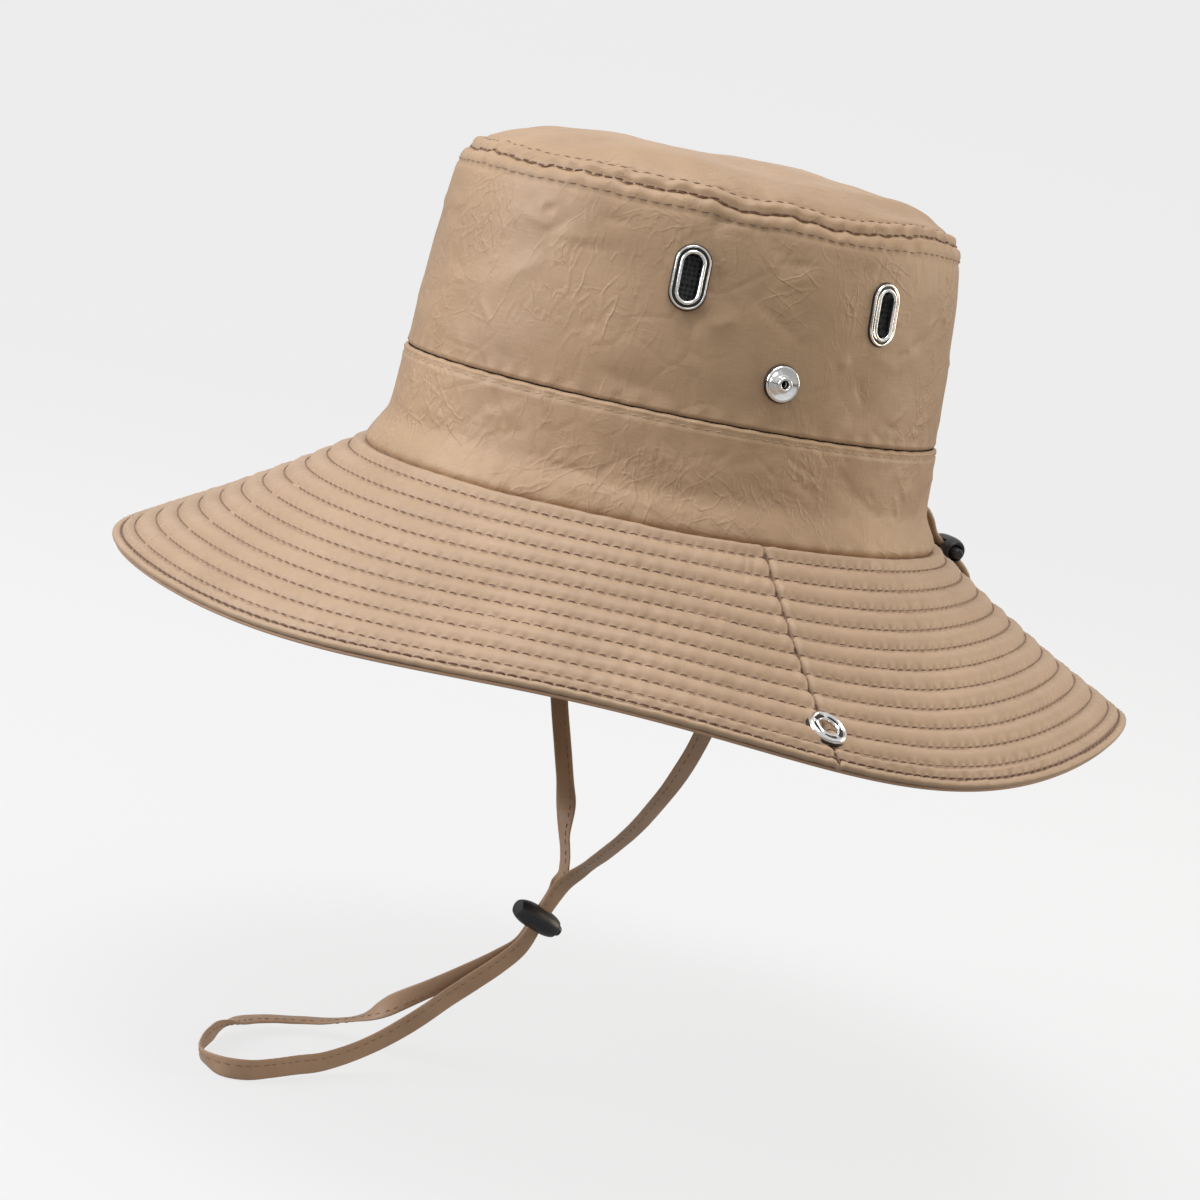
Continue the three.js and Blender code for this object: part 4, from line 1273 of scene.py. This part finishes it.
def set_lock(obj, lock, bevel):
    """Turns a part of a lock onto its cord and button axes, and rounds its edges."""
    z = Vector(lock["button"]).normalized()
    x = Vector(lock["cord"]).normalized()
    y = z.cross(x)
    m = Matrix((x, y, z)).transposed().to_4x4()
    obj.data.transform(Matrix.Translation(Vector(lock["at"]) * MM) @ m)
    mod = obj.modifiers.new("edge", "BEVEL")
    mod.width, mod.segments, mod.limit_method, mod.angle_limit = bevel * MM, 2, "ANGLE", math.radians(40)
    obj.modifiers.new("shade", "WEIGHTED_NORMAL")
    return obj


LOCK_LOW, LOCK_HIGH, LOCK_WIDE, LOCK_DEEP = -9.4, 7.3, 5.2, 4.3
OPENING = 14, 3.5


def make_lock(kind, lock):
    zs = np.linspace(LOCK_LOW, LOCK_HIGH, 30)
    outer = [(LOCK_WIDE * max(0.0, 1 - (abs(z + 0.5) / 10.5) ** 3) ** 0.5, z) for z in zs]
    body = lathe_solid(f"{kind}_lock_shell", [(0, LOCK_LOW), *outer, (0, LOCK_HIGH)], 56)
    body.data.transform(Matrix.Diagonal((LOCK_DEEP / LOCK_WIDE, 1, 1, 1)))
    bore = lathe_solid("bore", [(0, -8.2), (2.9, -8.2), (2.9, 9.5), (0, 9.5)], 40)
    carve(body, bore, block(*OPENING, 6.4))
    finish_piece(set_lock(body, lock, 0.25), f"{kind}_lock", [f"{kind}_lock_body"])
    stem = [(0, -4.4), (2.6, -4.4), (2.6, 6.7), (1.9, 7.7), (1.9, 9.2), (1.5, 9.8), (0, 9.8)]
    button = lathe_solid(f"{kind}_lock_button", stem, 40)
    carve(button, block(*OPENING, 8.8, 1.2))
    finish_piece(
        set_lock(button, lock, 0.15), f"{kind}_plunger", [f"{kind}_lock_plunger"]
    )


def make_spring(kind):
    """The lock's spring: a steel copy of the CAD coil that rides on the lock."""
    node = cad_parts[f"{kind}_lock_spring"]
    mesh = node.data.copy()
    mesh.materials.clear()
    mesh.materials.append(MATS["steel"])
    obj = add_object(f"{kind}_lock_coil", mesh)
    finish_piece(obj, f"{kind}_lock", [node.name])
    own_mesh(obj)
    return obj


LOCKS = {"chin": LOCK_CHIN, "rear": LOCK_REAR}
for lock_kind, lock_axes in LOCKS.items():
    make_lock(lock_kind, lock_axes)
COILS = {kind: make_spring(kind) for kind, lock in LOCKS.items()}


# ---- details on the cords --------------------------------------------------
def strap_stitches():
    mid, n, d = [], [], []
    for face in (1, -1):
        for a in np.arange(12, strap_arc[-1] - 12, STRAP_STITCH):
            i = int(round(a / strap_arc[-1] * (len(strap_c) - 1)))
            mid.append(strap_c[i] - strap_wide[i] * 1.5 + strap_thin[i] * face * (STRAP_THICK / 2 + 0.02))
            n.append(strap_thin[i] * face)
            d.append(strap_tan[i])
    obj = stitch_mesh("stitches_chin_strap", mid, d, n, 2.4, 0.14, "thread_mid", sink=0.15)
    return finish_piece(obj, "hat")


strap_line = strap_stitches()


# ---- stage and light -------------------------------------------------------
def make_stage():
    """The floor, curving up into a wall all round."""
    prof = [
        (0.0, 0.0), (1.6, 0.0), (2.0, 0.03), (2.35, 0.14), (2.65, 0.38), (2.82, 0.75), (2.9, 1.3), (2.9, 3.2),
    ]
    pts = []
    for (r0, z0), (r1, z1) in zip(prof, prof[1:]):
        for u in np.linspace(0, 1, 6, endpoint=False):
            pts.append((r0 + (r1 - r0) * u, z0 + (z1 - z0) * u))
    pts = np.array(pts[1:] + [prof[-1]])
    segs, m = 96, len(pts)
    P = ring_grid(pts, segs) * 1000
    P[..., 2] += FLOOR_Z
    n = Nodes("backdrop")
    MATS["stage"] = n.set(
        Base_Color=(0.12, 0.12, 0.12), Roughness=0.9, Specular_IOR_Level=0.0,
        Emission_Color=(1.0, 1.0, 1.0), Emission_Strength=0.745,
    )
    verts = np.concatenate([P.reshape(-1, 3), [[0, 0, FLOOR_Z]]])
    obj = link_mesh("backdrop", verts, grid_faces(segs, m, True), "stage")
    bm = bmesh.new()
    bm.from_mesh(obj.data)
    bm.verts.ensure_lookup_table()
    for i in range(segs):
        f = bm.faces.new((bm.verts[((i + 1) % segs) * m], bm.verts[i * m], bm.verts[segs * m]))
        f.smooth = True
    bm.to_mesh(obj.data)
    bm.free()
    obj.visible_diffuse = obj.visible_glossy = False


def area_light(name, direction, distance, size, power, tint):
    data = bpy.data.lights.new(name, "AREA")
    data.shape, data.size, data.energy, data.color = "DISK", size, power, tint
    obj = add_object(name, data)
    d = Vector(direction).normalized()
    obj.location = d * distance + Vector((0, 0, -0.03))
    obj.rotation_euler = d.to_track_quat("Z", "Y").to_euler()


def make_lights():
    """Three soft lamps, and a grey world that is dark at the horizon, which the metal reflects."""
    x, y, z, _ = camera_axes()
    area_light("key", -x * 1.2 + y * 0.75 + z * 0.6, 1.6, 0.85, 16.0, (0.97, 0.99, 1.05))
    area_light("rim", x * 1.0 + y * 0.08 - z * 0.22, 1.7, 0.9, 10.5, (1.0, 0.84, 0.62))
    area_light("top", Vector((0.1, -0.2, 1)), 2.0, 1.4, 25, (0.98, 1.0, 1.04))
    stops = [
        (0.0, 0.34), (0.33, 0.42), (0.43, 0.5), (0.475, 0.1), (0.5, 0.08), (0.54, 0.55), (0.8, 0.72),
        (1.0, 0.62),
    ]
    n = Nodes("studio", "Background", bpy.data.worlds)
    height = n.node("ShaderNodeSeparateXYZ", {0: n.coord.outputs["Generated"]}).outputs["Z"]
    share = n.node("ShaderNodeMath", {0: height, 1: 0.5, 2: 0.5}, operation="MULTIPLY_ADD").outputs[0]
    grey = n.ramp(share, [(where, (level,) * 3) for where, level in stops])
    bpy.context.scene.world = n.set(Color=grey, Strength=1.0)


make_stage()
make_lights()
bpy.context.scene.view_settings.view_transform = "Standard"
